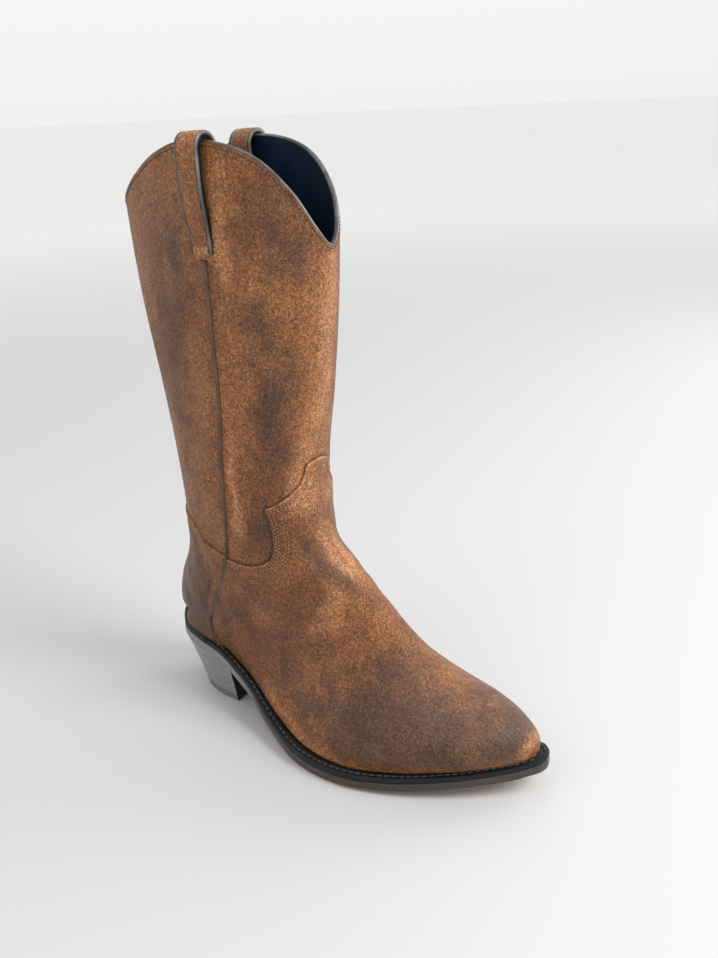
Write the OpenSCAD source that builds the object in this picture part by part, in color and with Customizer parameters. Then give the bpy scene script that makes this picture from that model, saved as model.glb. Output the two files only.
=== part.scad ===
// Western (cowboy) boot, right foot.
// +X runs to the toe, +Z up, -Y is the outer side of the foot.
// The origin lies on the ground under the middle of the boot.
// The upper follows one skin: a row of girth lines from the mouth (row 0) down
// the leg, round the ankle and out to the toe tip (row 21). Each girth line runs
// from the front line of the boot to the back line, or to the sole edge.

/* [Leather] */
// Thickness of the outer leather
upper_thick = 1.8; // [1.2:0.1:2.4]
// Thickness of the lining leather
lining_thick = 1.0; // [0.6:0.1:1.4]
// Thickness of the heel counter and toe puff
stiffener_thick = 1.3; // [1:0.1:1.6]
// Clearance between neighbouring pieces
gap = 0.3; // [0.2:0.05:0.4]

/* [Sole] */
// Thickness of the welt and heel rand
welt_thick = 3.2; // [2:0.2:4]
// Thickness of the leather outsole
outsole_thick = 6.2; // [4:0.1:6.2]
// Width of welt outside the upper, round the forefoot
welt_fore = 8.4; // [5:0.2:10]
// Width of welt outside the upper, at the waist
welt_waist = 6.4; // [4:0.2:8]
// Width of rand outside the upper, round the heel
rand_width = 4; // [2:0.2:5]
// Thickness of the insole board
insole_thick = 2.8; // [2:0.1:3.2]
// Distance between welt stitches
stitch_pitch = 4.8; // [4:0.1:8]

/* [Heel] */
// Thickness of the rubber top lift
top_lift_thick = 6; // [4:0.5:8]
// Diameter of the nails that hold the top lift
nail_d = 2.2; // [1.5:0.1:3]
// Forward reach of the heel breast on the ground
breast_x = 69; // [66:1:72]
// Distance of the heel's back from the seat's back on the ground
underslung = 18; // [8:1:24]

/* [Trim] */
// Diameter of the binding round the mouth
binding_d = 2.4; // [2.2:0.1:2.6]
// Diameter of the side seam piping
piping_d = 2.4; // [1.6:0.1:3]
// Width of the pull straps
strap_width = 15; // [13:0.5:20]
// Thickness of the pull straps
strap_thick = 2.2; // [1.6:0.1:2.6]
// Distance by which the straps stand off the leg
strap_stand = 5.6; // [5.2:0.1:7]
// Height of the strap loops over the mouth
strap_rise = 3.4; // [3.4:0.1:8]

/* [Hidden] */

// Middle of the footprint, measured from the back of the ankle
mid_x = 144.3;
mid_y = -5.8;

// Front line of the boot: x, z, and its y (the leg leans inward, the toe too)
DORSAL = [
    [160, 415, 5], [158.5, 356, 4], [152.5, 295, 3], [144.5, 238, 2], [137.5, 198, 1],
    [137, 170, 0], [138.5, 150, 0], [147, 132, 0], [161, 119, 0], [171, 112, 0],
    [177, 106.5, 0], [183, 102, 0], [190, 96, 0], [200, 87, 0], [213, 75, 0],
    [228, 64.5, 0], [244, 55.5, 0], [260, 49.5, 1], [274, 44.5, 2], [284, 39.5, 4],
    [290, 33.5, 6], [292, 26.5, 6.5]
];
// Back line from the mouth to the heel seat: x, z
BACK = [
    [-20, 412, 0, 0], [-12, 350, 0, 0], [-2, 289, 0, 0], [10, 230, 0, 0],
    [19.5, 184, 0, 0], [23.5, 149, 0, 0], [23.2, 115, 0, 0], [8.2, 87, 0, 0],
    [0.8, 66, 0, 0], [6.4, 51, 0, 0]
];
// Edge where the upper meets the sole, rows 9 to 21: x, z, outer and inner half width
SOLE_EDGE = [
    [6.4, 51, 0, 0], [19, 50.5, 20, 20], [42, 49.5, 28.5, 28.5], [66, 44.5, 29.5, 28],
    [91, 31, 32, 25], [120, 16.5, 41, 29], [153, 10.6, 51.5, 38], [188, 10.5, 53, 42],
    [221, 13, 44, 36.5], [252, 17, 28.5, 27], [276, 20.4, 12.5, 14], [287.5, 22.7, 5, 7],
    [292, 24.4, 0, 0]
];
SOLE_ROW = 9;
LAST_ROW = 21;
// Widest point of each row: its place between front and back line, outer and inner half width
GIRTH = [
    [0.5, 31, 31], [0.49, 34.5, 34.5], [0.455, 40, 40], [0.43, 42, 42], [0.44, 42.5, 42.5],
    [0.46, 41, 41], [0.47, 38, 38], [0.46, 34.5, 34.5], [0.47, 32, 32], [0.5, 31, 31],
    [0.56, 30, 30], [0.64, 29.8, 30], [0.71, 30, 30.5], [0.76, 32.8, 31.5], [0.785, 41.8, 35.5],
    [0.79, 52, 42], [0.785, 53.5, 45], [0.75, 45, 41], [0.7, 32.5, 31.5], [0.64, 19, 19],
    [0.6, 9.5, 10], [0.5, 0.6, 0.6]
];
// Mouth edge: its row at every tenth of the girth, from just past the front to just past the back
MOUTH = [1.27, 1.45, 1.27, 0.92, 0.61, 0.45, 0.41, 0.51, 0.7, 0.88, 0.98, 1.02, 0.98];
// Side seam: its place round the girth (0 front, 1 back) in rows 0 to 12
SEAM = [0.463, 0.463, 0.463, 0.464, 0.464, 0.472, 0.496, 0.532, 0.589, 0.633, 0.67, 0.757, 1];
// The inner seam and strap lie further back on the leg, by this much of the girth
INNER_SHIFT = 0.055;
// Row where the seam runs into the sole edge
SEAM_END = 12;
// Top edge of the vamp: place between front line (0) and side seam (1), and row
VAMP_TOP = [
    [0, 4.1], [0.14, 4.17], [0.185, 4.3], [0.25, 4.61], [0.38, 4.83], [0.5, 5.02],
    [0.56, 5.06], [0.59, 6.1], [0.63, 6.6], [0.7, 6.8], [0.8, 6.78], [0.9, 6.66], [1, 6.43]
];
// Top edge of the counter cover: its row at every quarter from the back line to the side seam
COUNTER_TOP = [5.05, 5.08, 5.3, 5.88, 6.4];

// ---------- curves ----------

// Smooth curve through four rows of numbers
function through(p0, p1, p2, p3, f) =
    p1 + f / 2 * (p2 - p0) + f * f * (p0 - 2.5 * p1 + 2 * p2 - p3 / 2)
    + f * f * f * (1.5 * (p1 - p2) + (p3 - p0) / 2);

// Row t of a table, between its whole rows too
function row(tab, t) =
    let (n = len(tab), i = max(0, min(n - 2, floor(t))), p1 = tab[i], p2 = tab[i + 1])
    let (p0 = i > 0 ? tab[i - 1] : 2 * p1 - p2, p3 = i + 2 < n ? tab[i + 2] : 2 * p2 - p1)
    through(p0, p1, p2, p3, t - i);

// The sole edge turns round at the heel's back and at the toe, so its other side continues it
function other_side(p) = [p[0], p[1], -p[2], -p[3]];
SOLE_LOOP = concat([other_side(SOLE_EDGE[1])], SOLE_EDGE, [other_side(SOLE_EDGE[11])]);

// Back end of a girth line: x, z, outer and inner half width
function end_of(t) = t <= SOLE_ROW ? row(BACK, t) : row(SOLE_LOOP, t - SOLE_ROW + 1);

// The back line and the sole edge meet in a corner at SOLE_ROW; away from the edge it is rounded
CORNER_REACH = 1;
CORNER_TAPS = [-1, -0.67, -0.33, 0, 0.33, 0.67, 1];
CORNER_WEIGHTS = [0.05, 0.13, 0.2, 0.24, 0.2, 0.13, 0.05];
function end_near(t, u) =
    let (reach = CORNER_REACH * ease((0.91 - u) * 4) * (1 - ease(abs(t - SOLE_ROW) / 2.2)))
    reach == 0 ? end_of(t) : CORNER_WEIGHTS * [for (k = CORNER_TAPS) end_of(t + k * reach)];

// Point of the skin on row t; a is 0 at the front, -1 round the outer side, 1 round the inner side
function skin(t, a) =
    let (side = a < 0 ? -1 : 1, u = abs(a), d = row(DORSAL, t), g = row(GIRTH, t), e = end_near(t, u))
    let (w = side < 0 ? g[1] : g[2], h = side < 0 ? e[2] : e[3])
    let (sx = d[0] + (e[0] - d[0]) * g[0], sz = d[1] + (e[1] - d[1]) * g[0])
    let (c = cos((u < 0.5 ? u : u - 0.5) * 180), s = sin((u < 0.5 ? u : u - 0.5) * 180))
    u < 0.5
        ? [sx + (d[0] - sx) * c, d[2] + side * w * s, sz + (d[1] - sz) * c]
        : [sx + (e[0] - sx) * s, d[2] + side * (h + (w - h) * c), sz + (e[1] - sz) * s];

function unit(v) = v / max(1e-9, norm(v));

// Outward direction of the sole edge, level
function edge_out(t, side) =
    let (d = 0.02, v = skin(min(LAST_ROW, t + d), side) - skin(max(SOLE_ROW, t - d), side))
    unit(side < 0 ? [v[1], -v[0], 0] : [-v[1], v[0], 0]);

function ease(x) = let (k = max(0, min(1, x))) k * k * (3 - 2 * k);

// Outward direction of the skin; it turns level at the sole edge, so that every layer ends at one height
function out(t, a) =
    let (u = abs(a), side = a < 0 ? -1 : 1, d = 0.01)
    let (a1 = side * (u > 1 - d ? 1 - d : u - d), a2 = side * min(1, u + d))
    let (va = (skin(t, a2) - skin(t, a1)) * side)
    let (vt = skin(min(LAST_ROW, t + 0.05), a) - skin(max(0, t - 0.05), a))
    let (n = unit(cross(vt, va)), level = ease(t - 8) * ease((u - 0.9) * 10))
    unit([n[0], n[1], n[2] * (1 - level)]);

function depth_point(t, a, deep) = skin(t, a) - out(t, a) * deep;

// Even steps from 0 to 1
function steps(n) = [for (i = [0:n]) i / n];

// ---------- solids ----------

// Closed solid between two grids of points of the same size
module between(top, bottom) {
    rows = len(top);
    cols = len(top[0]);
    n = rows * cols;
    at = function (i, j) i * cols + j;
    sheet = [for (i = [0:rows - 2], j = [0:cols - 2]) each [
        [at(i, j), at(i, j + 1), at(i + 1, j + 1)],
        [at(i, j), at(i + 1, j + 1), at(i + 1, j)]
    ]];
    under = [for (f = sheet) [f[2] + n, f[1] + n, f[0] + n]];
    rim = concat(
        [for (j = [0:cols - 1]) at(0, j)],
        [for (i = [1:rows - 1]) at(i, cols - 1)],
        [for (j = [1:cols - 1]) at(rows - 1, cols - 1 - j)],
        [for (i = [1:rows - 2]) at(rows - 1 - i, 0)]
    );
    m = len(rim);
    wall = [for (k = [0:m - 1]) each [
        [rim[k], rim[k] + n, rim[(k + 1) % m] + n],
        [rim[k], rim[(k + 1) % m] + n, rim[(k + 1) % m]]
    ]];
    polyhedron(concat([for (r = top) each r], [for (r = bottom) each r]), concat(sheet, under, wall));
}

// Closed solid through rings of points of the same size
module lofted(rings) {
    m = len(rings[0]);
    n = len(rings);
    side = [for (i = [0:n - 2], j = [0:m - 1]) each [
        [i * m + j, i * m + (j + 1) % m, (i + 1) * m + (j + 1) % m],
        [i * m + j, (i + 1) * m + (j + 1) % m, (i + 1) * m + j]
    ]];
    first = [for (j = [1:m - 2]) [0, j + 1, j]];
    last = [for (j = [1:m - 2]) [(n - 1) * m, (n - 1) * m + j, (n - 1) * m + j + 1]];
    polyhedron([for (r = rings) each r], concat(side, first, last));
}

// Round cord through points, lying on the skin whose outward directions are given
module cord(points, outs, d, sides) {
    n = len(points);
    lofted([for (i = [0:n - 1])
        let (v = unit(points[min(n - 1, i + 1)] - points[max(0, i - 1)]))
        let (o = unit(outs[i] - v * (outs[i] * v)), w = cross(v, o))
        [for (k = [0:sides - 1]) points[i] + d / 2 * (o * cos(360 * k / sides) - w * sin(360 * k / sides))]
    ]);
}

module placed() {
    translate([-mid_x, -mid_y, 0]) children();
}

// ---------- panels of the upper ----------

SHELL_DEPTH = upper_thick + gap;
STIFF_DEPTH = SHELL_DEPTH + stiffener_thick + gap;

// Half the width of the side seam, as a fraction of the girth
SEAM_TRIM = 0.004;
function shift_at(t, side) = side > 0 ? INNER_SHIFT * (1 - ease((t - 2) / 6)) : 0;
function seam_at(t, side) = min(1, row(SEAM, t) + shift_at(t, side));
function mouth_at(u) = row(MOUTH, u * 10 + 1);

// Depth of the lining below the skin: deeper where a counter or a toe puff lies between
function front_lining_depth(t) = SHELL_DEPTH + (STIFF_DEPTH - SHELL_DEPTH) * ease((t - 16) / 0.9);
function rear_lining_depth(t) = SHELL_DEPTH + (STIFF_DEPTH - SHELL_DEPTH) * ease((t - 5.3) / 0.8);

// Place round the girth that the columns of a panel aim for: the side seam itself on the panel's
// edge (b = 1), and a gentler line further in
function reach(t, b) =
    let (gentle = SEAM[0] + shift_at(t, b) + (1 - SEAM[0]) * ease((t - 3) / (SEAM_END - 3)))
    gentle + (seam_at(t, b) - gentle) * abs(b * b * b);

// Front half of the upper: b runs from the outer seam (-1) over the front (0) to the inner seam (1)
function front_a(t, b) = t < SEAM_END ? b * (reach(t, b) - SEAM_TRIM) : b;

// Rear half: b runs from the outer seam (-1) round the back (0) to the inner seam (1),
// down to the sole edge, which it meets at row rear_end(b)
function rear_end(b) = SOLE_ROW + (SEAM_END - SOLE_ROW) * abs(b);
function rear_a(t, b) =
    let (k = min(SEAM_END, t * SEAM_END / rear_end(b)), trim = k < SEAM_END - 0.3 ? SEAM_TRIM : 0)
    (b < 0 ? -1 : 1) * (1 - abs(b) * (1 - reach(k, b) - trim));

// Columns of a panel, closer together towards the seams
function columns(n) = [for (i = [-n:n]) sin(90 * i / n) * 0.35 + 0.65 * i / n];

module front_panel(cols, rows, top, bottom, deep, thick) {
    grid = function (extra) [for (b = cols) let (t0 = top(b), t1 = bottom(b))
        [for (k = steps(rows)) let (t = t0 + (t1 - t0) * k, a = front_a(t, b))
            depth_point(t, a, deep(t) + extra)]];
    placed() between(grid(thick), grid(0));
}

module rear_panel(cols, rows, top, bottom, deep, thick) {
    grid = function (extra) [for (b = cols) let (t0 = top(b), t1 = bottom(b))
        [for (k = steps(rows)) let (t = t0 + (t1 - t0) * k, a = rear_a(t, b))
            depth_point(t, a, deep(t) + extra)]];
    placed() between(grid(0), grid(thick));
}

front_mouth = function (b) mouth_at(abs(b) * seam_at(0, b));
rear_mouth = function (b) mouth_at(1 - abs(b) * (1 - seam_at(0, b)));
vamp_top = function (b) lookup(abs(b), VAMP_TOP);
above_vamp = function (b) vamp_top(b) - 0.02;
counter_top = function (b) row(COUNTER_TOP, abs(b) * 4);
above_counter = function (b) counter_top(b) - 0.02;
toe_tip = function (b) LAST_ROW - 0.06;
heel_seat = function (b) rear_end(b) - 0.01;

// The layers of a panel share their columns and rows, so that they nest; an inner piece that is
// shorter starts after so many of the panel's rows
SHAFT_ROWS = 9;
VAMP_ROWS = 18;
PUFF_FROM = 14;
COUNTER_ROWS = 15;
STIFFENER_FROM = 4;
puff_top = function (b) vamp_top(b) + (toe_tip(b) - vamp_top(b)) * PUFF_FROM / VAMP_ROWS;
stiffener_top = function (b) counter_top(b) + (heel_seat(b) - counter_top(b)) * STIFFENER_FROM / COUNTER_ROWS;

REAR_COLUMNS = columns(14);
VAMP_COLUMNS = [for (s = [-1, 1]) each s < 0
    ? [for (b = [1, 0.95, 0.88, 0.8, 0.72, 0.66, 0.62, 0.59, 0.575, 0.56, 0.5, 0.42, 0.34, 0.26, 0.2, 0.15, 0.08]) -b]
    : [0, 0.08, 0.15, 0.2, 0.26, 0.34, 0.42, 0.5, 0.56, 0.575, 0.59, 0.62, 0.66, 0.72, 0.8, 0.88, 0.95, 1]];

STIFFENER_COLUMNS = [for (b = REAR_COLUMNS) if (abs(b) < 0.9) b];
PUFF_COLUMNS = [for (b = VAMP_COLUMNS) if (abs(b) < 0.98) b];

at_surface = function (t) 0;
under_leather = function (t) SHELL_DEPTH;

module vamp() {
    color("#7a4a2c") front_panel(VAMP_COLUMNS, VAMP_ROWS, vamp_top, toe_tip, at_surface, upper_thick);
}

module front_shaft() {
    color("#80502f") front_panel(VAMP_COLUMNS, SHAFT_ROWS, front_mouth, above_vamp, at_surface, upper_thick);
}

module rear_shaft() {
    color("#784828") rear_panel(REAR_COLUMNS, SHAFT_ROWS, rear_mouth, above_counter, at_surface, upper_thick);
}

module counter_cover() {
    color("#6e4630") rear_panel(REAR_COLUMNS, COUNTER_ROWS, counter_top, heel_seat, at_surface, upper_thick);
}

module front_lining() {
    color("#14181c") front_panel(VAMP_COLUMNS, SHAFT_ROWS, front_mouth, above_vamp, under_leather, lining_thick);
}

module vamp_lining() {
    color("#16191d") front_panel(VAMP_COLUMNS, VAMP_ROWS, vamp_top, toe_tip,
        function (t) front_lining_depth(t), lining_thick);
}

module rear_lining() {
    color("#14181c") rear_panel(REAR_COLUMNS, SHAFT_ROWS, rear_mouth, above_counter, under_leather, lining_thick);
}

module heel_lining() {
    color("#16191d") rear_panel(REAR_COLUMNS, COUNTER_ROWS, counter_top, heel_seat,
        function (t) rear_lining_depth(t), lining_thick);
}

module counter_stiffener() {
    color("#b08a5c") rear_panel(STIFFENER_COLUMNS, COUNTER_ROWS - STIFFENER_FROM, stiffener_top, heel_seat,
        under_leather, stiffener_thick);
}

module toe_puff() {
    color("#b08a5c") front_panel(PUFF_COLUMNS, VAMP_ROWS - PUFF_FROM, puff_top, toe_tip,
        under_leather, stiffener_thick);
}

// ---------- sole ----------

// Width of the sole outside the sole edge, by row
SOLE_WIDTH = [
    [9, rand_width], [11, rand_width], [12.5, welt_waist], [13.5, welt_waist], [15, welt_fore], [21, welt_fore]
];
function sole_width(t) = lookup(t, SOLE_WIDTH);

// Height of the sole edge by distance from the heel: every layer of the sole bends like this
TOE_SPRING = 0.25;
SEAT_LINE = concat(
    [for (k = [0:90]) let (p = skin(SOLE_ROW + (LAST_ROW - SOLE_ROW) * k / 90, -1)) [p[0], p[2]]],
    [let (p = skin(LAST_ROW, -1)) [p[0] + 20, p[2] + 20 * TOE_SPRING]]
);
function seat_z(x) = lookup(x, SEAT_LINE);

// Point beside the sole edge: wide is outward, down is below the edge
function beside(t, side, wide, down) =
    let (p = skin(t, side) + edge_out(t, side) * wide) [p[0], p[1], seat_z(p[0]) - down];

// Rows of a plate, closer together at the heel's back and the toe
function plate_rows(first, last, n) = [for (k = steps(n)) first + (last - first) * (1 - cos(180 * k)) / 2];

// Level strips across the sole from row first to row last, wide beyond the sole edge
function plate(rows, wide, down) =
    [for (t = rows) let (p = beside(t, -1, wide(t), down(t)), q = beside(t, 1, wide(t), down(t)))
        [for (k = [0, 0.5, 1]) p + (q - p) * k]];

module sole_plate(rows, wide, down, thick) {
    placed() between(plate(rows, wide, down), plate(rows, wide, function (t) down(t) + thick(t)));
}

WELT_INSIDE = 6;
WELT_START = 11.3;
WELT_TOP = 0.3;
OUTSOLE_TOP = WELT_TOP + welt_thick + gap;

// Rows that every layer of the sole shares, closer together at the heel's back and the toe
SOLE_ROWS = plate_rows(9.04, 20.96, 56);
BEFORE_JOINT = [for (t = SOLE_ROWS) if (t < WELT_START) t];
AFTER_JOINT = concat([BEFORE_JOINT[len(BEFORE_JOINT) - 1] + 0.03], [for (t = SOLE_ROWS) if (t >= WELT_START) t]);
function turned(list) = [for (i = [len(list) - 1:-1:0]) list[i]];

// Stations of the welt from the inner side round the toe, and of the rand from the outer side round the heel
WELT_STATIONS = concat([for (t = AFTER_JOINT) [t, 1]], [for (t = turned(AFTER_JOINT)) [t, -1]]);
RAND_STATIONS = concat([for (t = turned(BEFORE_JOINT)) [t, -1]], [for (t = BEFORE_JOINT) [t, 1]]);

// The strip's inner edge would cross itself at the narrow toe, so it stays this deep there
function welt_inside(t) = min(WELT_INSIDE, 2 + 12 * max(0, LAST_ROW - t));

module edge_strip(stations) {
    ring = function (t, side, base)
        [for (c = [[sole_width(t), WELT_TOP], [sole_width(t), base], [-welt_inside(t), base], [-welt_inside(t), WELT_TOP]])
            beside(t, side, c[0], c[1])];
    placed() lofted([for (s = stations) ring(s[0], s[1], WELT_TOP + welt_thick)]);
}

module welt() {
    color("#1c1a1a") edge_strip(WELT_STATIONS);
}

module heel_rand() {
    color("#1a1818") edge_strip(RAND_STATIONS);
}

module outsole() {
    color("#2a211d") sole_plate(SOLE_ROWS, function (t) sole_width(t), function (t) OUTSOLE_TOP,
        function (t) outsole_thick);
}

INSIDE_CLEAR = STIFF_DEPTH + lining_thick + 0.6;

module insole() {
    color("#a98258") sole_plate(plate_rows(9.5, 20.2, 40), function (t) -INSIDE_CLEAR, function (t) -insole_thick,
        function (t) insole_thick);
}

SOCK_THICK = 1;
module heel_sock() {
    color("#22201f") sole_plate(plate_rows(9.7, 13.2, 12), function (t) -INSIDE_CLEAR - 1,
        function (t) -insole_thick - gap - SOCK_THICK, function (t) SOCK_THICK);
}

SHANK_THICK = 1.2;
SHANK_END = 14;

module cork_filler() {
    color("#c49a6c") sole_plate(plate_rows(SHANK_END + 0.1, 20, 24), function (t) -WELT_INSIDE - 0.8,
        function (t) WELT_TOP, function (t) OUTSOLE_TOP - gap - WELT_TOP);
}

module shank_cover() {
    top = WELT_TOP + SHANK_THICK + 2 * gap;
    color("#8f6b45") sole_plate(plate_rows(9.8, SHANK_END, 20), function (t) -WELT_INSIDE - 0.8,
        function (t) top, function (t) OUTSOLE_TOP - gap - top);
}

module shank() {
    rows = plate_rows(10.2, SHANK_END, 20);
    width = 15;
    grid = function (down) [for (t = rows)
        let (p = beside(t, -1, 0, down), q = beside(t, 1, 0, down), m = (p + q) / 2, v = [0, width / 2, 0])
        [m - v, m, m + v]];
    color("silver") placed() between(grid(WELT_TOP + gap), grid(WELT_TOP + gap + SHANK_THICK));
}

// ---------- heel ----------

HEEL_TOP_ROW = 12.05;
HEEL_SIDES = 15;
STACK_TOP = 34;
lift_count = 5;
lift_thick = (STACK_TOP - top_lift_thick) / (lift_count - 0.5);

// Outline of the heel under the outsole, as seen from above: from the breast's outer corner
// round the back to its inner corner. It narrows and leans forward towards the ground.
HEEL_SEAT = concat(
    [for (k = steps(HEEL_SIDES)) beside(HEEL_TOP_ROW - (HEEL_TOP_ROW - 9.05) * sin(90 * k), -1, rand_width - 0.3, 0)],
    [for (k = steps(HEEL_SIDES)) beside(9.05 + (HEEL_TOP_ROW - 9.05) * (1 - cos(90 * k)), 1, rand_width - 0.3, 0)]
);
SEAT_BACK_X = HEEL_SEAT[HEEL_SIDES][0];
SEAT_BREAST_X = HEEL_SEAT[0][0];
HEEL_DROP = 41;
GROUND_BACK_X = SEAT_BACK_X + underslung;
GROUND_NARROWING = 0.8;

// The heel's outline at height z: lean is 0 at the seat and 1 on the ground
function heel_at(p, z) =
    let (lean = heel_lean(1 - z / HEEL_DROP), f = (p[0] - SEAT_BACK_X) / (SEAT_BREAST_X - SEAT_BACK_X))
    let (gx = GROUND_BACK_X + (breast_x - GROUND_BACK_X) * f)
    [p[0] + (gx - p[0]) * lean, p[1] * (1 - (1 - GROUND_NARROWING) * lean)];
function heel_lean(k) = let (x = max(0, min(1, k))) x * (1.25 - 0.25 * x);

function heel_ring(z) = [for (p = HEEL_SEAT) let (q = heel_at(p, z)) [q[0], q[1], z]];

// Height of the top of the heel, just under the outsole
function under_outsole(x) = seat_z(x) - OUTSOLE_TOP - outsole_thick - gap;

module heel_slab(z0, z1) {
    placed() lofted([heel_ring(z0), heel_ring(z1)]);
}

module heel_lift_1() {
    z0 = top_lift_thick + 4 * lift_thick + gap;
    high = [for (p = HEEL_SEAT) let (q = heel_at(p, 40)) [q[0], q[1], under_outsole(q[0])]];
    color("#2b2624") placed() lofted([heel_ring(z0), high]);
}

module lift(i) {
    base = top_lift_thick + (5 - i) * lift_thick;
    color("#2d2725") heel_slab(base + gap, base + lift_thick);
}
module heel_lift_2() { lift(2); }
module heel_lift_3() { lift(3); }
module heel_lift_4() { lift(4); }
module heel_lift_5() { lift(5); }

// The nails stand inside these points of the outline
NAIL_RING = [1, 5, 9, 13, 18, 22, 26, 30];
HEEL_MIDDLE = [46, 0];
function nail_place(k) = let (q = heel_at(HEEL_SEAT[k], 0)) HEEL_MIDDLE + (q - HEEL_MIDDLE) * 0.68;
NAIL_RECESS = 1;

module top_lift() {
    color("#191919") placed() difference() {
        linear_extrude(top_lift_thick) polygon([for (p = HEEL_SEAT) heel_at(p, 0)]);
        for (k = NAIL_RING)
            translate([nail_place(k)[0], nail_place(k)[1], -1])
                cylinder(d = nail_d + 2 * gap, h = top_lift_thick + 2, $fn = 24);
    }
}

module heel_nails() {
    color("#b9b4a6") placed() for (k = NAIL_RING)
        translate([nail_place(k)[0], nail_place(k)[1], NAIL_RECESS])
            cylinder(d = nail_d, h = top_lift_thick - NAIL_RECESS, $fn = 24);
}

// ---------- stitching, piping and binding ----------

// Row of the welt at a distance along the line of stitches
STITCH_FIRST = 11.6;
STITCH_LAST = 20.9;
function stitch_line(side) = [for (k = steps(80)) let (t = STITCH_FIRST + (STITCH_LAST - STITCH_FIRST) * k)
    beside(t, side, sole_width(t) * 0.5, WELT_TOP)];
function lengths(pts, i = 0, sum = 0, out = []) =
    i >= len(pts) ? out
    : let (s = sum + (i > 0 ? norm(pts[i] - pts[i - 1]) : 0)) lengths(pts, i + 1, s, concat(out, [s]));

module stitches(side) {
    line = stitch_line(side);
    run = lengths(line);
    total = run[len(run) - 1];
    count = floor(total / stitch_pitch);
    place = function (s) [for (c = [0:2]) lookup(s, [for (i = [0:len(run) - 1]) [run[i], line[i][c]]])];
    for (i = [0:count - 1]) {
        p = place((i + 0.5) * total / count);
        v = unit(place((i + 0.6) * total / count) - place((i + 0.4) * total / count));
        translate(p + [0, 0, 0.75])
            rotate([0, acos(v[2]), atan2(v[1], v[0])])
                cylinder(d = 0.8, h = stitch_pitch * 0.66, center = true, $fn = 16);
    }
}

module welt_stitching() {
    color("#5a5754") placed() {
        stitches(-1);
        stitches(1);
    }
}

PIPING_START = 1.58;
PIPING_END = 11.6;
module side_piping(side) {
    rows = [for (k = steps(34)) PIPING_START + (PIPING_END - PIPING_START) * k];
    places = [for (t = rows) side * seam_at(t, side)];
    outs = [for (i = [0:len(rows) - 1]) out(rows[i], places[i])];
    points = [for (i = [0:len(rows) - 1]) skin(rows[i], places[i]) + outs[i] * (piping_d / 2 + 0.3)];
    color("#2a2422") placed() cord(points, outs, piping_d, 8);
}
module side_piping_outer() { side_piping(-1); }
module side_piping_inner() { side_piping(1); }

// Upward direction in the leather, square to the mouth edge
function above_rim(o, along) = let (v = unit(cross(o, along))) v[2] < 0 ? -v : v;

// Binding along the mouth, over both layers of leather, through the given places round the girth
module binding(places) {
    deep = (upper_thick + gap + lining_thick) / 2;
    up = binding_d / 2 + gap;
    rim = function (a) depth_point(mouth_at(abs(a)), a, deep);
    outs = [for (a = places) out(mouth_at(abs(a)), a)];
    spots = [for (i = [0:len(places) - 1])
        rim(places[i]) + up * above_rim(outs[i], rim(places[i] + 0.01) - rim(places[i] - 0.01))];
    color("#24262a") placed() cord(spots, outs, binding_d, 8);
}
SEAM_GAP = 0.002;
module front_binding() { binding([for (b = columns(15)) b * (seam_at(0, b) - SEAM_GAP)]); }
module rear_binding() {
    binding([for (b = columns(15)) (b < 0 ? -1 : 1) * (1 - abs(b) * (1 - seam_at(0, b) - SEAM_GAP))]);
}

// ---------- pull straps ----------

function strap_place(side) = 0.465 + shift_at(0, side);
STRAP_LOW = 1.46;
STRAP_LEG_TOP = 0.5;
STRAP_INSIDE_LOW = 1.3;
// How fast the strap leaves the wall
STRAP_LIFT = 1.4;

// Middle line of a strap from its outer foot over the mouth to its inner foot
function strap_line(side) =
    let (a = side * strap_place(side), wall = SHELL_DEPTH + lining_thick, half = strap_thick / 2 + gap)
    let (leg = steps(9))
    let (outer = [for (k = leg)
        let (t = STRAP_LOW + (STRAP_LEG_TOP - STRAP_LOW) * k, far = half + strap_stand * ease(k * STRAP_LIFT))
        skin(t, a) + out(t, a) * far])
    let (inner = [for (k = leg)
        let (t = STRAP_LEG_TOP + (STRAP_INSIDE_LOW - STRAP_LEG_TOP) * k)
        let (far = wall + half + strap_stand * ease((1 - k) * STRAP_LIFT))
        skin(t, a) - out(t, a) * far])
    let (p = outer[9], q = inner[0], m = (p + q) / 2, r = norm(p - q) / 2, w = unit(p - q))
    let (crown = [mouth_top(a)[0], 0, mouth_top(a)[2] + strap_rise + strap_thick / 2 - m[2]])
    let (arch = [for (k = [1:7]) m + w * r * cos(180 * k / 8) + [0, 0, crown[2]] * sin(180 * k / 8)])
    concat(outer, arch, inner);
function mouth_top(a) = skin(mouth_at(abs(a)), a);

// Direction across the strap, along the mouth
function across(side) =
    unit(skin(0.8, side * (strap_place(side) - 0.03)) - skin(0.8, side * (strap_place(side) + 0.03)));

module pull_strap(side) {
    line = strap_line(side);
    n = len(line);
    x = across(side);
    color("#7b4c2d") placed() lofted([for (i = [0:n - 1])
        let (v = unit(line[min(n - 1, i + 1)] - line[max(0, i - 1)]), o = unit(cross(v, x)))
        [for (c = [[-1, -1], [-1, 1], [1, 1], [1, -1]]) line[i] + x * c[0] * strap_width / 2 + o * c[1] * strap_thick / 2]]);
}
module pull_strap_outer() { pull_strap(-1); }
module pull_strap_inner() { pull_strap(1); }

// Rolled edge along both sides of a strap
EDGING_D = 2.2;
module strap_edging(side) {
    line = strap_line(side);
    n = len(line);
    x = across(side);
    color("#1d1d20") placed() for (e = [-1, 1])
        cord([for (p = line) p + x * e * (strap_width + EDGING_D + gap) / 2], [for (p = line) x], EDGING_D, 6);
}
module strap_edging_outer() { strap_edging(-1); }
module strap_edging_inner() { strap_edging(1); }

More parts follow.
